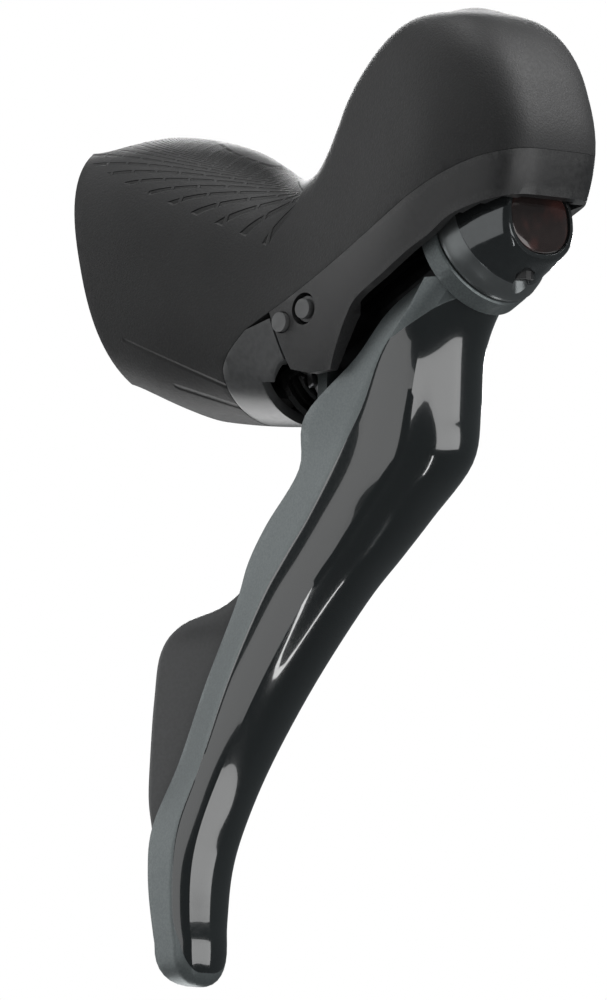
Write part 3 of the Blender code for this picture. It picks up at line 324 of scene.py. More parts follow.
class Nodes:
    """Short ways to add shader nodes to one material."""

    def __init__(self, tree):
        self.tree = tree
        self.place = tree.nodes.new("ShaderNodeTexCoord")

    def set(self, socket, value):
        if isinstance(value, bpy.types.NodeSocket):
            self.tree.links.new(value, socket)
        else:
            socket.default_value = value

    def math(self, operation, *values):
        node = self.tree.nodes.new("ShaderNodeMath")
        node.operation = operation
        for socket, value in zip(node.inputs, values):
            self.set(socket, value)
        return node.outputs[0]

    def axis(self, name):
        node = self.tree.nodes.new("ShaderNodeSeparateXYZ")
        self.tree.links.new(self.place.outputs["Object"], node.inputs[0])
        return node.outputs[name]

    def millimetres(self, name):
        return self.math("MULTIPLY", self.axis(name), 1000.0)

    def inside(self, value, low, high):
        """1 below low, 0 above high and smooth between."""
        return self.math("SUBTRACT", 1.0, self.step(value, low, high))

    def noise(self, scale, detail=3.0, stretch=(1, 1, 1)):
        """Noise of a number of cells to the metre, in the object's own space."""
        scaled = self.tree.nodes.new("ShaderNodeMapping")
        scaled.inputs["Scale"].default_value = stretch
        self.tree.links.new(self.place.outputs["Object"], scaled.inputs["Vector"])
        node = self.tree.nodes.new("ShaderNodeTexNoise")
        node.inputs["Scale"].default_value = scale
        node.inputs["Detail"].default_value = detail
        self.tree.links.new(scaled.outputs[0], node.inputs["Vector"])
        return node.outputs["Fac"]

    def step(self, value, low, high):
        """0 below low, 1 above high and smooth between."""
        node = self.tree.nodes.new("ShaderNodeMapRange")
        node.interpolation_type = "SMOOTHSTEP"
        self.set(node.inputs["Value"], value)
        self.set(node.inputs["From Min"], low)
        self.set(node.inputs["From Max"], high)
        return node.outputs["Result"]

    def span(self, value, low, high):
        """A 0 to 1 value stretched to between low and high."""
        node = self.tree.nodes.new("ShaderNodeMapRange")
        self.set(node.inputs["Value"], value)
        node.inputs["To Min"].default_value = low
        node.inputs["To Max"].default_value = high
        return node.outputs["Result"]

    def mix(self, share, first, second):
        node = self.tree.nodes.new("ShaderNodeMix")
        node.data_type = "RGBA"
        self.set(node.inputs["Factor"], share)
        self.set(node.inputs["A"], colour(first))
        self.set(node.inputs["B"], colour(second))
        return node.outputs["Result"]

    def blend(self, share, first, second):
        """first where share is 0, second where it is 1."""
        return self.math("ADD", first, self.math("MULTIPLY", share, second - first))

    def bump(self, shader, height, strength, distance, before=None):
        node = self.tree.nodes.new("ShaderNodeBump")
        node.inputs["Strength"].default_value = strength
        node.inputs["Distance"].default_value = distance
        self.tree.links.new(height, node.inputs["Height"])
        if before:
            self.tree.links.new(before, node.inputs["Normal"])
        self.tree.links.new(node.outputs[0], shader.inputs["Normal"])
        return node.outputs[0]

    def painted_edge_highlight(self, shader, base, edge_highlit, share):
        """Painted edge highlight: pointed places on the mesh made lighter, broken up by noise."""
        geometry = self.tree.nodes.new("ShaderNodeNewGeometry")
        pointed = self.step(geometry.outputs["Pointiness"], 0.56, 0.68)
        broken = self.step(self.noise(2600.0, 4.0), 0.35, 0.70)
        edge_light = self.math("MULTIPLY", self.math("MULTIPLY", pointed, broken), share)
        mixed = self.mix(edge_light, base, edge_highlit)
        self.tree.links.new(mixed, shader.inputs["Base Color"])
        return mixed


def colour(value):
    return value if isinstance(value, bpy.types.NodeSocket) else (*value, 1.0)


def new_material(name, base, metallic, roughness):
    material = bpy.data.materials.new(name)
    material.use_nodes = True
    shader = material.node_tree.nodes["Principled BSDF"]
    shader.inputs["Base Color"].default_value = (*base, 1.0)
    shader.inputs["Metallic"].default_value = metallic
    shader.inputs["Roughness"].default_value = roughness
    return material, shader, Nodes(material.node_tree)


def varied(build, shader, base, amount, scale=120.0):
    """The base colour with soft cloudy variation."""
    darker = tuple(c * (1 - amount) for c in base)
    lighter = tuple(c * (1 + amount) for c in base)
    mixed = build.mix(build.step(build.noise(scale, 4.0), 0.35, 0.65), darker, lighter)
    build.tree.links.new(mixed, shader.inputs["Base Color"])
    return mixed


def rough_range(build, shader, low, high, scale=250.0):
    rough = build.span(build.step(build.noise(scale, 5.0), 0.3, 0.7), low, high)
    build.tree.links.new(rough, shader.inputs["Roughness"])


def grip_grooves(build):
    """1 in the grip's grooves: short dashes on lines that fan out backwards from the hood's neck."""
    y, z = build.millimetres("Y"), build.millimetres("Z")
    away = build.math("SUBTRACT", y, FAN_CENTRE[0])
    rise = build.math("SUBTRACT", z, FAN_CENTRE[1])
    near = build.math("SUBTRACT", build.math("MULTIPLY", away, FAN_SLOPE), rise)
    share = build.math("DIVIDE", near, FAN_REACH)
    bow = build.math("MULTIPLY", build.math("MULTIPLY", share, build.math("SUBTRACT", 1.0, share)), FAN_BOW)
    bowed = build.math("DIVIDE", build.math("ADD", near, bow), FAN_REACH)
    place = build.math("DIVIDE", build.math("DIVIDE", away, bowed), FAN_SPACING)
    lane = build.math("FLOOR", place)
    off = build.math("ABSOLUTE", build.math("SUBTRACT", build.math("FRACT", place), 0.5))
    width = build.math("DIVIDE", build.math("MULTIPLY", bowed, FAN_SPACING), build.math("ADD", 1.0, bowed))
    line = build.inside(build.math("MULTIPLY", off, width), GROOVE_HALF_WIDTH, GROOVE_HALF_WIDTH * 1.9)
    stagger = build.math("MULTIPLY", build.math("MODULO", lane, 2.0), 0.5)
    beat = build.math("ADD", build.math("DIVIDE", away, DASH_LENGTH), stagger)
    from_middle = build.math("ABSOLUTE", build.math("SUBTRACT", build.math("FRACT", beat), 0.5))
    dash = build.inside(from_middle, 0.41, 0.46)
    begin = build.step(away, 3.0, 5.0)
    within = build.inside(share, 0.97, 1.0)
    above = build.step(bowed, 0.06, 0.09)
    made = line
    for limit in (dash, begin, within, above):
        made = build.math("MULTIPLY", made, limit)
    return made


def belly_ribs(build):
    """1 on two long thin lines under the grip."""
    y, z = build.millimetres("Y"), build.millimetres("Z")
    made = None
    for start_y, start_z, slope in BELLY_LINES:
        line = build.math("ADD", build.math("MULTIPLY", build.math("SUBTRACT", y, start_y), slope), start_z)
        off = build.math("ABSOLUTE", build.math("SUBTRACT", z, line))
        rib = build.math("MULTIPLY", build.inside(off, 0.05, 0.60), build.inside(y, start_y - 1, start_y))
        made = rib if made is None else build.math("MAXIMUM", made, rib)
    return made


def rubber_material():
    """Matte rubber with fine grain, the grip's grooves and the lines under it, their colour darkened as painted
    shade.
    """
    material, shader, build = new_material("hood_rubber_fine", (0.013, 0.013, 0.0135), 0.0, 0.62)
    shader.inputs["Sheen Weight"].default_value = 0.05
    shader.inputs["Sheen Roughness"].default_value = 0.45
    shader.inputs["Specular IOR Level"].default_value = 0.32
    grooves = grip_grooves(build)
    ribs = build.math("MULTIPLY", belly_ribs(build), 0.38)
    sunk = build.math("MAXIMUM", grooves, ribs)
    cloud = build.step(build.noise(60.0, 4.0), 0.3, 0.7)
    clouds = build.mix(cloud, (0.0130, 0.0130, 0.0134), (0.0165, 0.0165, 0.0170))
    speckle = build.math("MULTIPLY", build.step(build.noise(2200.0, 3.0), 0.55, 0.75), 0.35)
    grained = build.mix(speckle, clouds, (0.030, 0.030, 0.031))
    # painted shade: the sunk grooves and the lines under the grip are darkened towards near black
    dark = build.mix(build.math("MULTIPLY", sunk, 0.85), grained, (0.002, 0.002, 0.002))
    build.tree.links.new(dark, shader.inputs["Base Color"])
    rough_range(build, shader, 0.54, 0.60, 1500.0)
    fine = build.bump(shader, build.noise(2400.0, 4.0), 0.30, 0.00025)
    build.bump(shader, build.math("SUBTRACT", 1.0, sunk), 0.9, 0.0006, fine)
    return material


def composite_material():
    base = (0.014, 0.014, 0.0145)
    material, shader, build = new_material("bracket_composite_fine", base, 0.0, 0.42)
    mixed = varied(build, shader, base, 0.12, 900.0)
    # painted highlight on the bracket's edges
    build.painted_edge_highlight(shader, mixed, (0.05, 0.05, 0.05), 0.3)
    rough_range(build, shader, 0.38, 0.46, 900.0)
    build.bump(shader, build.noise(3500.0, 2.0), 0.10, 0.0001)
    return material


def cover_material():
    base = (0.048, 0.049, 0.050)
    material, shader, build = new_material("cover_plastic_fine", base, 0.1, 0.33)
    mixed = varied(build, shader, base, 0.08, 900.0)
    # painted highlight on the cover's edges
    build.painted_edge_highlight(shader, mixed, (0.08, 0.08, 0.08), 0.3)
    rough_range(build, shader, 0.30, 0.37, 900.0)
    build.bump(shader, build.noise(2500.0, 2.0), 0.06, 0.0001)
    return material


def gloss_inlay(build):
    """1 on the blade's front: from the crease round to the inner side, with an arched top and a round end."""
    uv = build.tree.nodes.new("ShaderNodeSeparateXYZ")
    build.tree.links.new(build.place.outputs["UV"], uv.inputs[0])
    around, z = uv.outputs["X"], build.millimetres("Z")
    off = build.math("DIVIDE", build.math("SUBTRACT", around, INLAY_MIDDLE), INLAY_HALF_WIDTH)
    square = build.math("MULTIPLY", off, off)
    fourth = build.math("MULTIPLY", square, square)
    top = build.math("SUBTRACT", INLAY_TOP, build.math("MULTIPLY", square, INLAY_TOP_ARCH))
    low = build.math("ADD", INLAY_BOTTOM, build.math("MULTIPLY", fourth, INLAY_BOTTOM_ARCH))
    inner_side = build.inside(around, INLAY_END - 0.015, INLAY_END)
    made = build.math("MULTIPLY", build.step(around, 0.985, 1.0), inner_side)
    made = build.math("MULTIPLY", made, build.inside(build.math("SUBTRACT", z, top), -0.12, 0.12))
    return build.math("MULTIPLY", made, build.step(build.math("SUBTRACT", z, low), -0.12, 0.12))


def blade_material():
    """Satin grey-green paint with fine metal flake, and deep near-black lacquer on the front inlay."""
    satin, lacquer = (0.125, 0.141, 0.143), (0.010, 0.0125, 0.013)
    material, shader, build = new_material("blade_finish", satin, 0.6, 0.40)
    shader.inputs["Coat Roughness"].default_value = 0.035
    shader.inputs["Coat IOR"].default_value = 1.7
    inlay = gloss_inlay(build)
    mixed = varied(build, shader, satin, 0.08, 2600.0)
    # painted highlight on the blade's edges
    edge_highlit = build.painted_edge_highlight(shader, mixed, (0.22, 0.24, 0.24), 0.2)
    build.tree.links.new(build.mix(inlay, edge_highlit, lacquer), shader.inputs["Base Color"])
    build.tree.links.new(build.blend(inlay, 0.6, 0.2), shader.inputs["Metallic"])
    build.tree.links.new(inlay, shader.inputs["Coat Weight"])
    cloud = build.math("MULTIPLY", build.step(build.noise(1500.0, 4.0), 0.3, 0.7), 0.06)
    rough = build.math("ADD", build.blend(inlay, 0.37, 0.13), cloud)
    build.tree.links.new(rough, shader.inputs["Roughness"])
    fine = build.bump(shader, build.noise(5000.0, 2.0), 0.06, 0.00008)
    build.bump(shader, inlay, 0.35, 0.00025, fine)
    return material


def head_material():
    """Dark mirror-like plating, with a satin band next to the ring."""
    dark, satin = (0.050, 0.055, 0.057), (0.150, 0.160, 0.162)
    material, shader, build = new_material("head_dark_plating", dark, 0.75, 0.16)
    shader.inputs["Coat Roughness"].default_value = 0.04
    tilt = math.radians(SHIFT_TILT)
    ahead = build.math("MULTIPLY", build.math("ADD", build.millimetres("Y"), -SHIFT_RING[0]), math.cos(tilt))
    back = build.math("SUBTRACT", ahead, build.math("MULTIPLY", build.millimetres("Z"), math.sin(tilt)))
    band = build.step(back, -HEAD_BAND - 0.1, -HEAD_BAND + 0.1)
    mixed = build.mix(band, varied(build, shader, dark, 0.06, 900.0), satin)
    # painted highlight on the head's edges
    build.painted_edge_highlight(shader, mixed, (0.15, 0.16, 0.16), 0.15)
    cloud = build.math("MULTIPLY", build.step(build.noise(900.0, 4.0), 0.3, 0.7), 0.06)
    build.tree.links.new(build.math("ADD", build.blend(band, 0.11, 0.30), cloud), shader.inputs["Roughness"])
    build.tree.links.new(build.blend(band, 0.8, 0.0), shader.inputs["Coat Weight"])
    fine = build.bump(shader, build.noise(110.0, 3.0), 0.02, 0.0003)
    build.bump(shader, band, 0.3, 0.0002, fine)
    return material


def plate_material():
    """Reddish brown lacquer whose colour clouds a little."""
    material, shader, build = new_material("plate_brown_gloss", (0.050, 0.026, 0.024), 0.45, 0.14)
    shader.inputs["Coat Weight"].default_value = 0.8
    shader.inputs["Coat Roughness"].default_value = 0.03
    clouds = build.step(build.noise(120.0, 3.0), 0.4, 0.62)
    brown = build.mix(clouds, (0.030, 0.022, 0.021), (0.085, 0.036, 0.032))
    build.tree.links.new(brown, shader.inputs["Base Color"])
    rough_range(build, shader, 0.11, 0.18, 900.0)
    build.bump(shader, build.noise(160.0, 2.0), 0.05, 0.0003)
    return material


def paddle_material():
    base = (0.060, 0.061, 0.062)
    material, shader, build = new_material("paddle_satin", base, 0.3, 0.42)
    mixed = varied(build, shader, base, 0.08, 1500.0)
    # painted highlight on the paddle's edges
    build.painted_edge_highlight(shader, mixed, (0.14, 0.14, 0.14), 0.4)
    rough_range(build, shader, 0.39, 0.46, 1500.0)
    build.bump(shader, build.noise(4500.0, 2.0), 0.10, 0.0001)
    return material


def metal_material(name, base, roughness, turned=(1, 1, 12), edge_light=(0.7, 0.7, 0.7)):
    """Machined metal: fine lines stretched across an axis, uneven polish and a painted highlight on its edges.
    """
    material, shader, build = new_material(name, base, 1.0, roughness)
    mixed = varied(build, shader, base, 0.05, 1600.0)
    # painted highlight on the metal's edges
    build.painted_edge_highlight(shader, mixed, edge_light, 0.6)
    rough_range(build, shader, roughness * 0.9, min(1.0, roughness * 1.15), 1800.0)
    build.bump(shader, build.noise(700.0, 4.0, turned), 0.10, 0.0001)
    return material


def plastic_material(name, base, roughness, metallic=0.0):
    material, shader, build = new_material(name, base, metallic, roughness)
    varied(build, shader, base, 0.15, 250.0)
    rough_range(build, shader, roughness * 0.8, roughness * 1.25, 500.0)
    build.bump(shader, build.noise(1800.0, 3.0), 0.06, 0.0001)
    return material


# ---------------------------------------------------------------- mesh helpers


def new_object(name, mesh, *materials):
    made = bpy.data.objects.new(name, mesh)
    bpy.context.scene.collection.objects.link(made)
    for material in materials:
        mesh.materials.append(material)
    return made


def catmull_rom(a, b, c, d, t):
    """The value at t on the smooth curve from b to c, where a comes before them and d after."""
    bend = (2 * a - 5 * b + 4 * c - d) * t**2
    twist = (3 * b - a - 3 * c + d) * t**3
    return 0.5 * (2 * b + (c - a) * t + bend + twist)


def spline(rows, steps):
    """Rows of numbers with steps Catmull-Rom rows to each gap."""
    ends = [tuple(2 * a - b for a, b in zip(rows[0], rows[1])), *rows]
    ends.append(tuple(2 * a - b for a, b in zip(rows[-1], rows[-2])))
    made = []
    for p, q, r, s in zip(ends, ends[1:], ends[2:], ends[3:]):
        for i in range(steps):
            made.append(tuple(catmull_rom(*values, i / steps) for values in zip(p, q, r, s)))
    return made + [tuple(rows[-1])]


def loft(name, rings, marks=None):
    """A closed mesh through rings of equally many points; marks, one for each point, are kept as its U."""
    bm = bmesh.new()
    loops = [[bm.verts.new(Vector(point) * MM) for point in ring] for ring in rings]
    layer = bm.loops.layers.uv.new("marks") if marks else None
    count = len(loops[0])
    for low, high in zip(loops, loops[1:]):
        for i in range(count):
            j = (i + 1) % count
            face = bm.faces.new((low[i], low[j], high[j], high[i]))
            if marks:
                ahead = marks[j] if j else 4.0
                for corner, mark in zip(face.loops, (marks[i], ahead, ahead, marks[i])):
                    corner[layer].uv = (mark, 0)
    for ring in (loops[0], loops[-1]):
        bm.faces.new(ring)
    return finish_mesh(name, bm)


def finish_mesh(name, bm, smooth=True):
    bmesh.ops.recalc_face_normals(bm, faces=bm.faces)
    mesh = bpy.data.meshes.new(name)
    bm.to_mesh(mesh)
    bm.free()
    if smooth:
        mesh.shade_smooth()
    return mesh


def prism(name, outline, half_width=40.0):
    """An outline in (y, z), extruded along X to both sides."""
    bm = bmesh.new()
    face = bm.faces.new([bm.verts.new(Vector((-half_width, y, z)) * MM) for y, z in outline])
    grown = bmesh.ops.extrude_face_region(bm, geom=[face])["geom"]
    moved = [item for item in grown if isinstance(item, bmesh.types.BMVert)]
    bmesh.ops.translate(bm, verts=moved, vec=Vector((2 * half_width, 0, 0)) * MM)
    return new_object(name, finish_mesh(name, bm, smooth=False))


def rod(name, start, end, radius, steps=64, chamfer=0.0):
    """A round bar between two points, with its ends chamfered if a chamfer is given."""
    length = (Vector(end) - Vector(start)).length
    profile = [(radius, 0), (radius, length)]
    if chamfer:
        near = [(radius - chamfer, 0), (radius, chamfer)]
        profile = near + [(r, length - height) for r, height in reversed(near)]
    turn = (Vector(end) - Vector(start)).to_track_quat("Z", "Y")
    rings = []
    for r, height in profile:
        ring = []
        for i in range(steps):
            angle = 2 * math.pi * i / steps
            ring.append(Vector(start) + turn @ Vector((r * math.cos(angle), r * math.sin(angle), height)))
        rings.append(ring)
    return new_object(name, loft(name, rings))


def carve(target, operation, *others):
    """Joins or cuts target with each of the other objects, which are used up."""
    for other in others:
        modifier = target.modifiers.new(other.name, "BOOLEAN")
        modifier.operation = operation
        modifier.solver = "EXACT"
        modifier.object = other
    settle(target)
    for other in others:
        bpy.data.objects.remove(other, do_unlink=True)
    return target


def settle(target):
    """Makes target's modifiers part of its mesh."""
    graph = bpy.context.evaluated_depsgraph_get()
    mesh = bpy.data.meshes.new_from_object(target.evaluated_get(graph), depsgraph=graph)
    target.modifiers.clear()
    target.data = mesh


def soften(target, width, segments=3, angle=30):
    """Rounds the sharp edges and keeps the wide faces' own shading."""
    bevel = target.modifiers.new("soft_edges", "BEVEL")
    bevel.width = width * MM
    bevel.segments = segments
    bevel.limit_method = "ANGLE"
    bevel.angle_limit = math.radians(angle)
    bevel.use_clamp_overlap = True
    bevel.harden_normals = False
    settle(target)
    target.data.shade_smooth()
    target.data.set_sharp_from_angle(angle=math.radians(28))


def on_shift_axle(back, height=0.0, x=0.0):
    """The point at a distance behind the head's ring, and height above the shift axle."""
    tilt = math.radians(SHIFT_TILT)
    y = SHIFT_RING[0] + back * math.cos(tilt) + height * math.sin(tilt)
    z = SHIFT_RING[1] - back * math.sin(tilt) + height * math.cos(tilt)
    return (x, y, z)


def on_bar(x, y, z):
    """A point given in the handlebar's own frame, whose Z runs along the leaning bar."""
    return tuple(Matrix.Rotation(math.radians(-BAR_LEAN), 4, "X") @ Vector((x, y, z)))


def in_cylinder(depth):
    """The point at a depth along the tilted brake cylinder, measured from the thrust roller's pin."""
    tilt = math.radians(CYLINDER_TILT)
    return (0, THRUST_PIN[0] - depth * math.cos(tilt), THRUST_PIN[1] + depth * math.sin(tilt))


def bar_block(name, low, high):
    """A block between two corners given in the handlebar's own frame."""
    corners = ((low[0], low[2]), (high[0], low[2]), (high[0], high[2]), (low[0], high[2]))
    rings = [[on_bar(x, y, z) for x, z in corners] for y in (low[1], high[1])]
    return new_object(name, loft(name, rings))


def shifted(outline, dy, dz):
    return [(y + dy, z + dz) for y, z in outline]


# ---------------------------------------------------------------- the body's outer form


def soft_polygon(direction, sides, power):
    """How far a rounded polygon reaches from its middle in a direction; a side is (angle, distance, share)."""
    total = 0.0
    for angle, distance, share in sides:
        facing = math.cos(direction - math.radians(angle))
        if facing > 0:
            total += share * (facing / distance) ** power
    return total ** (-1 / power)


def body_ring(row):
    top_y, top_z, low_y, low_z, lower, upper, lower_angle, power = row
    up = Vector((0, top_y - low_y, top_z - low_z))
    middle = Vector((0, top_y + low_y, top_z + low_z)) / 2
    height = up.length / 2
    up.normalize()
    sides = [(90, height, 1), (-90, height, 1)]
    for angle, width in ((lower_angle, lower), (UPPER_SIDE_ANGLE, upper)):
        sides += [(angle, width, 0.5), (180 - angle, width, 0.5)]
    ring = []
    for i in range(BODY_COUNT):
        turn = 2 * math.pi * (i + 0.5) / BODY_COUNT
        direction = math.atan2(height * math.sin(turn), lower * math.cos(turn))
        reach = soft_polygon(direction, sides, power)
        ring.append(middle + Vector((reach * math.cos(direction), 0, 0)) + up * reach * math.sin(direction))
    return ring


def body_form(name, inset=0.0):
    """The hood and bracket's common outer form, or the same form a wall thickness further in."""
    rings = [body_ring(row) for row in spline(BODY_STATIONS, BODY_STEPS)]
    tip = Vector((0, *BODY_TOP))
    rings.append([p.lerp(tip, 0.5) + Vector((0, 0, 0.12)) for p in rings[-1]])
    rings.append([p.lerp(tip, 0.96) for p in rings[-1]])
    mesh = loft(name, rings)
    if inset:
        rows = len(rings)
        normals = [v.normal.copy() for v in mesh.vertices]
        for vert, normal in zip(mesh.vertices, normals):
            k = vert.index // BODY_COUNT
            out = Vector((normal.x, 0, normal.z)) if k == 0 else normal
            vert.co -= out.normalized() * inset * MM
            if k == 0:
                vert.co.y += REAR_OVERRUN * MM
            if k >= rows - 2:
                vert.co.z = min(vert.co.z, (BODY_TOP[1] - inset) * MM)
    return new_object(name, mesh)


def dense(outline, steps=6):
    """The outline through the given points as a smooth curve."""
    return spline(outline, steps)


# ---------------------------------------------------------------- hood, bracket and cover


def make_hood(material):
    hood = body_form("hood_skin")
    seam = dense(SEAM[1:5]) + [SEAM[5]]
    edge = dense(COVER_EDGE[1:])
    front = shifted(reversed([SEAM[0]] + seam), 0, SEAM_GAP) + shifted(edge, SEAM_GAP, 0)
    front += [(-31, -70), (-125, -70)]
    inner = body_form("hood_inside", HOOD_THICKNESS)
    passage = rod("bar_passage", on_bar(0, 0, -60), on_bar(0, 0, 60), BAR_RADIUS + 0.4)
    carve(hood, "DIFFERENCE", inner, prism("hood_front", front), passage)
    hood.data.materials.append(material)
    soften(hood, 0.35, 3, 50)
    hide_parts("hood")
    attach(hood, "root")


def make_bracket(material):
    """The visible ears and lip with the core behind them, cut for the lever, the bar and the cylinder."""
    core = body_form("bracket_shell", CORE_INSET)
    lean = math.tan(math.radians(BAR_LEAN))
    opening = list(LEVER_OPENING[:3]) + dense(LEVER_OPENING[3:11], 4) + [LEVER_OPENING[11]]
    under = [(-47.0, -16.0), (-42.5, -12.5), (-37.0, -15.0), (-33.0, -20.0), (-30.5, -24.0), (-30.5, -60.0)]
    seam = [SEAM[0]] + dense(SEAM[1:5]) + [SEAM[5]]
    carve(
        core, "DIFFERENCE",
        prism("behind_bar", ((-3 - 45 * lean, -45), (-3 + 45 * lean, 45), (60, 45), (60, -45))),
        prism("above_reservoir", ((-130, 38), (-40, 38), (-40, 60), (-130, 60))),
        prism("open_front", under + [(-125.0, -60.0)] + list(reversed(opening))),
    )
    visible = body_form("visible_bracket")
    carve(visible, "INTERSECT", prism("bracket_zone", seam + list(reversed(opening))))
    carve(core, "UNION", visible)
    carve(core, "DIFFERENCE", *bracket_cuts())
    bosses = []
    for side in (-1, 1):
        near, far = (side * x for x in AXLE_BOSS)
        bosses.append(rod(f"axle_boss_{side}", (near, *BRAKE_AXLE), (far, *BRAKE_AXLE), AXLE_BOSS_RADIUS))
    carve(core, "UNION", *bosses)
    carve(core, "DIFFERENCE", *bracket_bores())
    core.data.materials.clear()
    core.data.materials.append(material)
    soften(core, 0.3, 3, 35)
    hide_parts("bracket_body")
    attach(core, "root")


def bracket_cuts():
    """The cavity that the lever and its shift unit sit and swing in."""
    ceiling = list(CAVITY_CEILING) + [(-66.0, WELL_BELOW), (-94.0, WELL_BELOW)]
    made = [prism("lever_cavity", ceiling, CAVITY_HALF_WIDTH)]
    for i, (front, rear, width) in enumerate(LIP_ROOMS):
        rear += 0.5
        outline = [(front, CAVITY_TOP), (rear, CAVITY_TOP), (rear, WELL_BELOW), (front, WELL_BELOW)]
        made.append(prism(f"lip_cavity_{i}", outline, width))
    axle_room = list(AXLE_ROOM) + [(-49.0, WELL_BELOW), (-66.5, WELL_BELOW)]
    made.append(prism("axle_cavity", axle_room, AXLE_ROOM_HALF_WIDTH))
    under_lip = [(-101.0, -3.0), (-101.0, WELL_BELOW), (-130.0, WELL_BELOW), (-130.0, -3.0)]
    made.append(prism("below_lip", under_lip, CAVITY_HALF_WIDTH))
    reach, radius = SWING_ROOM
    made.append(rod("rear_cavity", (-reach, *BRAKE_AXLE), (reach, *BRAKE_AXLE), radius))
    made.append(prism("flank_room", ((-62, -60), (-42.6, -60), (-42.6, -23.4), (-62, -23.4)), 13.5))
    return made


def bracket_bores():
    """Holes for the pins, the handlebar and its clamp, the cylinder, the two ports and the reservoir."""
    front, rear = RESERVOIR_REACH
    reservoir = ((front, RESERVOIR_FLOOR), (rear, RESERVOIR_FLOOR), (rear, 60), (front, 60))
    return [
        rod("rest_pin_bore", (-30, *REST_PIN), (-8, *REST_PIN), 2.1),
        rod("axle_bore", (-30, *BRAKE_AXLE), (30, *BRAKE_AXLE), 3.1),
        rod("bar_bore", on_bar(0, 0, -60), on_bar(0, 0, 60), BAR_RADIUS, 96),
        rod("band_slot", on_bar(0, 0, -7), on_bar(0, 0, 7), BAR_RADIUS + 2, 96),
        bar_block("lug_room", (-22.0, -8.6, -6.8), (-11.0, 12.0, 6.8)),
        rod("bolt_bore", on_bar(CLAMP_BOLT_X, -10.6, 0), on_bar(CLAMP_BOLT_X, 12, 0), 1.7),
        rod("bolt_head_room", on_bar(CLAMP_BOLT_X, -14.2, 0), on_bar(CLAMP_BOLT_X, -10, 0), 2.7),
        rod("cylinder_bore", in_cylinder(CYLINDER_REACH[0]), in_cylinder(CYLINDER_REACH[1]), CYLINDER_ROOM),
        rod("cable_bore", (CABLE_PORT[0], -45, CABLE_PORT[1]), (CABLE_PORT[0], 5, CABLE_PORT[1]), 2.9),
        rod("hose_bore", (HOSE_PORT[0], -38, HOSE_PORT[1]), (HOSE_PORT[0], 5, HOSE_PORT[1]), 3.6),
        prism("reservoir_cavity", reservoir, 6.8),
    ] + [rod(f"lid_screw_bore_{i}", (x, y, 28), (x, y, 60), 1.2, 24) for i, (x, y) in enumerate(LID_SCREWS)]


def make_cover(material):
    cover = body_form("cover_skin")
    edge = shifted(dense(COVER_EDGE[1:]), -SEAM_GAP, 0)
    ear = shifted(EAR_REAR, 0.5, -0.2)
    outline = [(-45.1, -11.2)] + edge + [(-31.3, -60), (-58, -60)] + [ear[1]]
    carve(cover, "INTERSECT", prism("cover_zone", outline))
    y, z = RECESS_CENTRE
    front = prism("cover_front", ((-70, -60), (-41.2, -60), (-41.2, -20), (-70, -20)), 13.3)
    recess = rod("recess", (-40, y, z), (40, y, z), RECESS_RADIUS)
    carve(cover, "DIFFERENCE", body_form("cover_inside", COVER_THICKNESS), recess, front)
    cover.data.materials.clear()
    cover.data.materials.append(material)
    soften(cover, 0.25, 3, 40)
    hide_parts("lower_cover")
    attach(cover, "root")


# ---------------------------------------------------------------- blade, paddle and head


def blade_curve(row, steps):
    """The flank's rear edge, the hollow facet up from the crease, and the curve over to the inner edge."""
    crease, nose, inner = (Vector(row[i:i + 2]) for i in (3, 5, 7))
    width = nose.x - crease.x
    front = Vector((crease.x + 0.5 * width, nose.y - 0.12 * width))
    shoulder = Vector((crease.x + 0.14 * width, crease.y + 0.66 * (front.y - crease.y)))
    flank = Vector(row[1:3])
    facet = [crease.lerp(shoulder, i / steps) for i in range(steps)]
    hollow = (shoulder - crease).length * 0.05
    aside = Vector((-(shoulder - crease).y, (shoulder - crease).x)).normalized()
    facet = [p - aside * hollow * math.sin(math.pi * i / steps) for i, p in enumerate(facet)]
    over = [Vector(p) for p in spline((tuple(shoulder), tuple(front), tuple(nose), tuple(inner)), steps)]
    return flank, facet, over


def blade_ring(row, steps=10):
    """Points round a section of the blade, and their marks: the flank to 1, the front to 3, the back to 4."""
    flank, facet, over = blade_curve(row, steps)
    side = [(flank.lerp(facet[0], i / 6), i / 6) for i in range(6)]
    shoulder = [(p, 1 + 0.4 * i / steps) for i, p in enumerate(facet)]
    front = [(p, 1.4 + 1.6 * i / (len(over) - 1)) for i, p in enumerate(over)]
    back = [(over[-1].lerp(flank, i / 8), 3 + i / 8) for i in range(1, 8)]
    marked = side + shoulder + front + back
    return [(p.x, p.y, row[0]) for p, _ in marked], [mark for _, mark in marked]


def rounded_tip(row, steps=8):
    """The blade's last sections, shrinking to a round end."""
    ring, _ = blade_ring(row)
    centre = sum((Vector(p) for p in ring), Vector()) / len(ring)
    made = []
    for i in range(1, steps + 1):
        drop = math.sin(math.pi / 2 * i / steps)
        size = max(0.06, (1 - drop**TIP_SHARPNESS) ** (1 / TIP_SHARPNESS))
        level = TIP_START + (TIP_END - TIP_START) * drop
        made.append([(*(centre + (Vector(p) - centre) * size).xy, level) for p in ring])
    return made


def channel_ring(row, wall, steps=6):
    """The outline a wall thickness further in, run out at the open rear."""
    flank, facet, over = blade_curve(row, steps)
    points = [flank] + facet + over
    moved = []
    for i, p in enumerate(points):
        along = (points[min(i + 1, len(points) - 1)] - points[max(i - 1, 0)]).normalized()
        moved.append(p + Vector((-along.y, along.x)) * wall)
    moved[0] += Vector((0, 12))
    moved[-1] += Vector((0, 20))
    return [(p.x, p.y, row[0]) for p in moved]


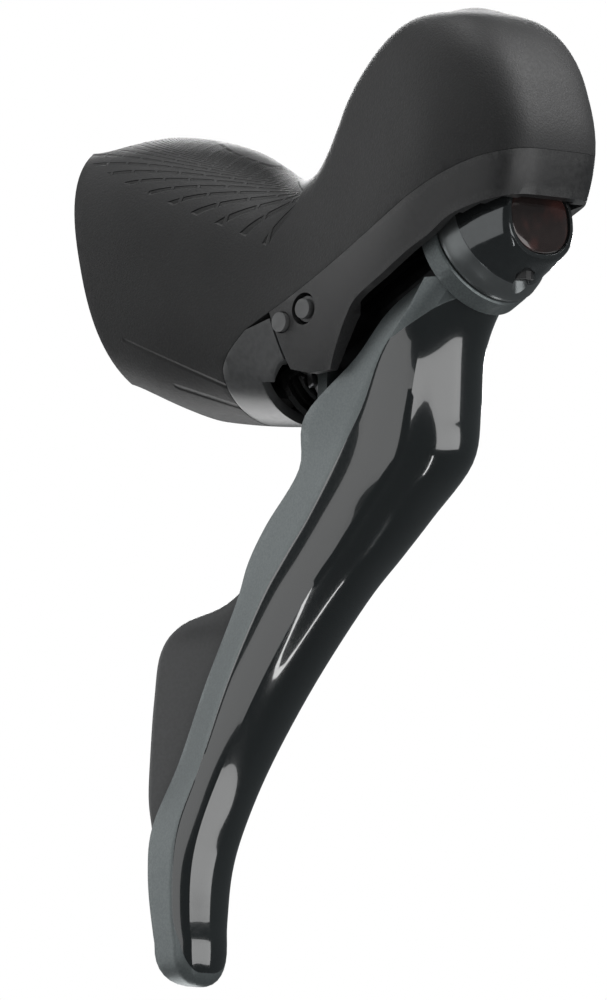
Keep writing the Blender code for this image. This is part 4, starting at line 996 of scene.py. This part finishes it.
def make_blade(finish):
    rows = [row for row in spline(BLADE_STATIONS, BLADE_STEPS) if row[0] > TIP_START]
    marks = blade_ring(rows[0])[1]
    rings = [blade_ring(row)[0] for row in rows] + rounded_tip(rows[-1])
    blade = new_object("blade_shell", loft("blade_shell", rings, marks), finish)
    hollow = [channel_ring(r, BLADE_WALL) for r in rows if r[0] > CHANNEL_END]
    above = [Vector(p) + Vector((0, 0, 9)) for p in hollow[0]]
    channel = new_object("blade_channel", loft("blade_channel", [above, *hollow]))
    rooms = (
        rod("carrier_room", *(on_shift_axle(back) for back in CARRIER_ROOM), CARRIER_ROOM_RADIUS),
        rod("head_room", on_shift_axle(0), on_shift_axle(-9), RING_RADIUS + 0.5, 96),
    )
    carve(blade, "DIFFERENCE", channel, *rooms)
    web = [[on_shift_axle(back, height, x) for x, height in WEB] for back in BLADE_LUG]
    hub = rod("blade_hub", on_shift_axle(BLADE_HUB[1]), on_shift_axle(BLADE_HUB[0]), RING_RADIUS, 96, 0.3)
    lug = rod("blade_lug", on_shift_axle(BLADE_LUG[1]), on_shift_axle(BLADE_LUG[0]), 5.5)
    carve(blade, "UNION", hub, lug, new_object("blade_web", loft("blade_web", web)))
    carve(blade, "DIFFERENCE", rod("blade_bore", on_shift_axle(-3), on_shift_axle(60), AXLE_RADIUS + 1.2))
    soften(blade, 0.45, 3, 38)
    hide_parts("shift_blade")
    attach(blade, "blade_body")


def paddle_ring(row, count=48):
    z, front_x, front_y, rear_x, rear_y, thickness = row
    front, rear = Vector((front_x, front_y)), Vector((rear_x, rear_y))
    centre = (front + rear) / 2
    half = (rear - front).length / 2
    along = (rear - front).normalized()
    across = Vector((along.y, -along.x))
    ring = []
    for i in range(count):
        turn = 2 * math.pi * i / count
        c, s = math.cos(turn), math.sin(turn)
        a = math.copysign(abs(c) ** (2 / 2.8), c) * thickness / 2
        b = math.copysign(abs(s) ** (2 / 2.8), s) * half
        p = centre + across * a + along * b
        ring.append((p.x, p.y, z))
    return ring


def make_paddle(material):
    rows = spline(PADDLE_STATIONS, 6)
    paddle = new_object("release_paddle", loft("release_paddle", [paddle_ring(r) for r in rows]), material)
    ahead, behind = PADDLE_LUG
    rooms = (
        rod("room_ahead", on_shift_axle(20), on_shift_axle(ahead + 0.2), 9.0),
        rod("room_behind", on_shift_axle(behind - 0.2), on_shift_axle(60), 9.5),
    )
    carve(paddle, "DIFFERENCE", *rooms)
    carve(paddle, "UNION", rod("paddle_lug", on_shift_axle(behind), on_shift_axle(ahead), 5.2, 64, 0.2))
    carve(paddle, "DIFFERENCE", rod("paddle_bore", on_shift_axle(20), on_shift_axle(60), AXLE_RADIUS + 0.3))
    soften(paddle, 0.3, 2, 40)
    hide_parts("shift_paddle")
    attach(paddle, "paddle_body")


def round_ring(centre, up, width, height, power=2.0, count=96):
    ring = []
    for i in range(count):
        turn = 2 * math.pi * i / count
        c, s = math.cos(turn), math.sin(turn)
        x = math.copysign(abs(c) ** (2 / power), c) * width
        z = math.copysign(abs(s) ** (2 / power), s) * height
        ring.append(Vector(centre) + Vector((x, 0, 0)) + Vector(up) * z)
    return ring


def make_head(head_finish, plate_finish):
    """Conical head in front of the blade's ring, with a raised rim round the blank plate in its flat front."""
    tilted = Vector(on_shift_axle(0, 1)) - Vector(on_shift_axle(0))
    upright = Vector((0, 0.1, 1)).normalized()
    rings = []
    for back, radius in HEAD_ROUND_RINGS:
        rings.append(round_ring(on_shift_axle(back), tilted, radius, radius))
    for y, z, width, height in HEAD_FRONT_RINGS:
        rings.append(round_ring((0, y, z), upright, width, height, FRONT_POWER))
    head = new_object("cone_shell", loft("cone_shell", rings), head_finish)
    pocket = [round_ring((0, y, PLATE_HEIGHT), upright, *PLATE_POCKET, FRONT_POWER) for y in (-101.3, -105)]
    cuts = (
        new_object("plate_pocket", loft("plate_pocket", pocket)),
        rod("head_bore", on_shift_axle(-8.5), on_shift_axle(5), AXLE_RADIUS + 0.2),
        rod("screw_bore", (0, PLATE_SCREW_Y, -14), (0, PLATE_SCREW_Y, -1.5), 1.3, 32),
        rod("screw_room", (0, PLATE_SCREW_Y, -14), (0, PLATE_SCREW_Y, -5.0), 2.15, 48),
    )
    carve(head, "DIFFERENCE", *cuts)
    soften(head, 0.3, 3, 32)
    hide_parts("cone_head")
    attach(head, "carrier_body")
    plate_rings = []
    for y, width, height in PLATE_RINGS:
        plate_rings.append(round_ring((0, y, PLATE_HEIGHT), upright, width, height, FRONT_POWER))
    plate = new_object("front_plate", loft("front_plate", plate_rings), plate_finish)
    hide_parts("name_plate")
    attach(plate, "carrier_body")


# ---------------------------------------------------------------- everything


def finish_nodes(finishes, special):
    """Gives each CAD node that still shows its fine material, by its name or by its slot in the record."""
    slots = {part["node"]: part["material_slot"] for part in frame["record"]["subparts"]}
    for name, node in frame["nodes"].items():
        material = special.get(name) or finishes.get(slots.get(name))
        if material and not node.hide_render:
            for place in node.material_slots:
                place.material = material


def main():
    cad = [list(corner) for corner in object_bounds()]
    make_camera()
    make_world()
    make_lights()
    make_floor(cad[0][2])
    steel = metal_material("steel_fine", (0.42, 0.42, 0.43), 0.32)
    # bronze, with a warm painted highlight on its edges
    bronze = metal_material("bush_bronze_fine", (0.42, 0.28, 0.14), 0.42, edge_light=(0.75, 0.55, 0.3))
    composite = composite_material()
    rubber = rubber_material()
    cover = cover_material()
    black = plastic_material("black_gloss_fine", (0.008, 0.008, 0.008), 0.14)
    pin = plastic_material("dark_pin_fine", (0.105, 0.106, 0.107), 0.45, 0.4)
    make_hood(rubber)
    make_bracket(composite)
    make_cover(cover)
    make_blade(blade_material())
    make_paddle(paddle_material())
    make_head(head_material(), plate_material())
    finish_nodes(
        {
            "bracket_composite": composite,
            "hood_rubber": plastic_material("seal_rubber_fine", (0.02, 0.02, 0.02), 0.55),
            "cover_plastic": cover,
            "aluminium": metal_material("aluminium_fine", (0.55, 0.56, 0.57), 0.34),
            "steel": steel,
            "spring_steel": metal_material("spring_steel_fine", (0.25, 0.25, 0.26), 0.28),
            "bush_bronze": bronze,
            "black_metal": plastic_material("black_anodised_fine", (0.018, 0.018, 0.019), 0.36, 0.7),
            "black_gloss": black,
        },
        {"rest_pin": pin, "brake_axle": pin, "axle_bush_outer": black, "name_plate_screw": composite},
    )


with open("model.json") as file:
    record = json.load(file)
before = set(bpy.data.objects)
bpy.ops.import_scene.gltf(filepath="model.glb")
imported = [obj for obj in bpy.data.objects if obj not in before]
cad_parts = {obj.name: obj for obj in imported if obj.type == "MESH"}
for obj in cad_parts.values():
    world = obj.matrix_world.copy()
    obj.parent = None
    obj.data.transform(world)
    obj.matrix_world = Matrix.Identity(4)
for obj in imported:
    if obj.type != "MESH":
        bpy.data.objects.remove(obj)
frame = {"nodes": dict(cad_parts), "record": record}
main()
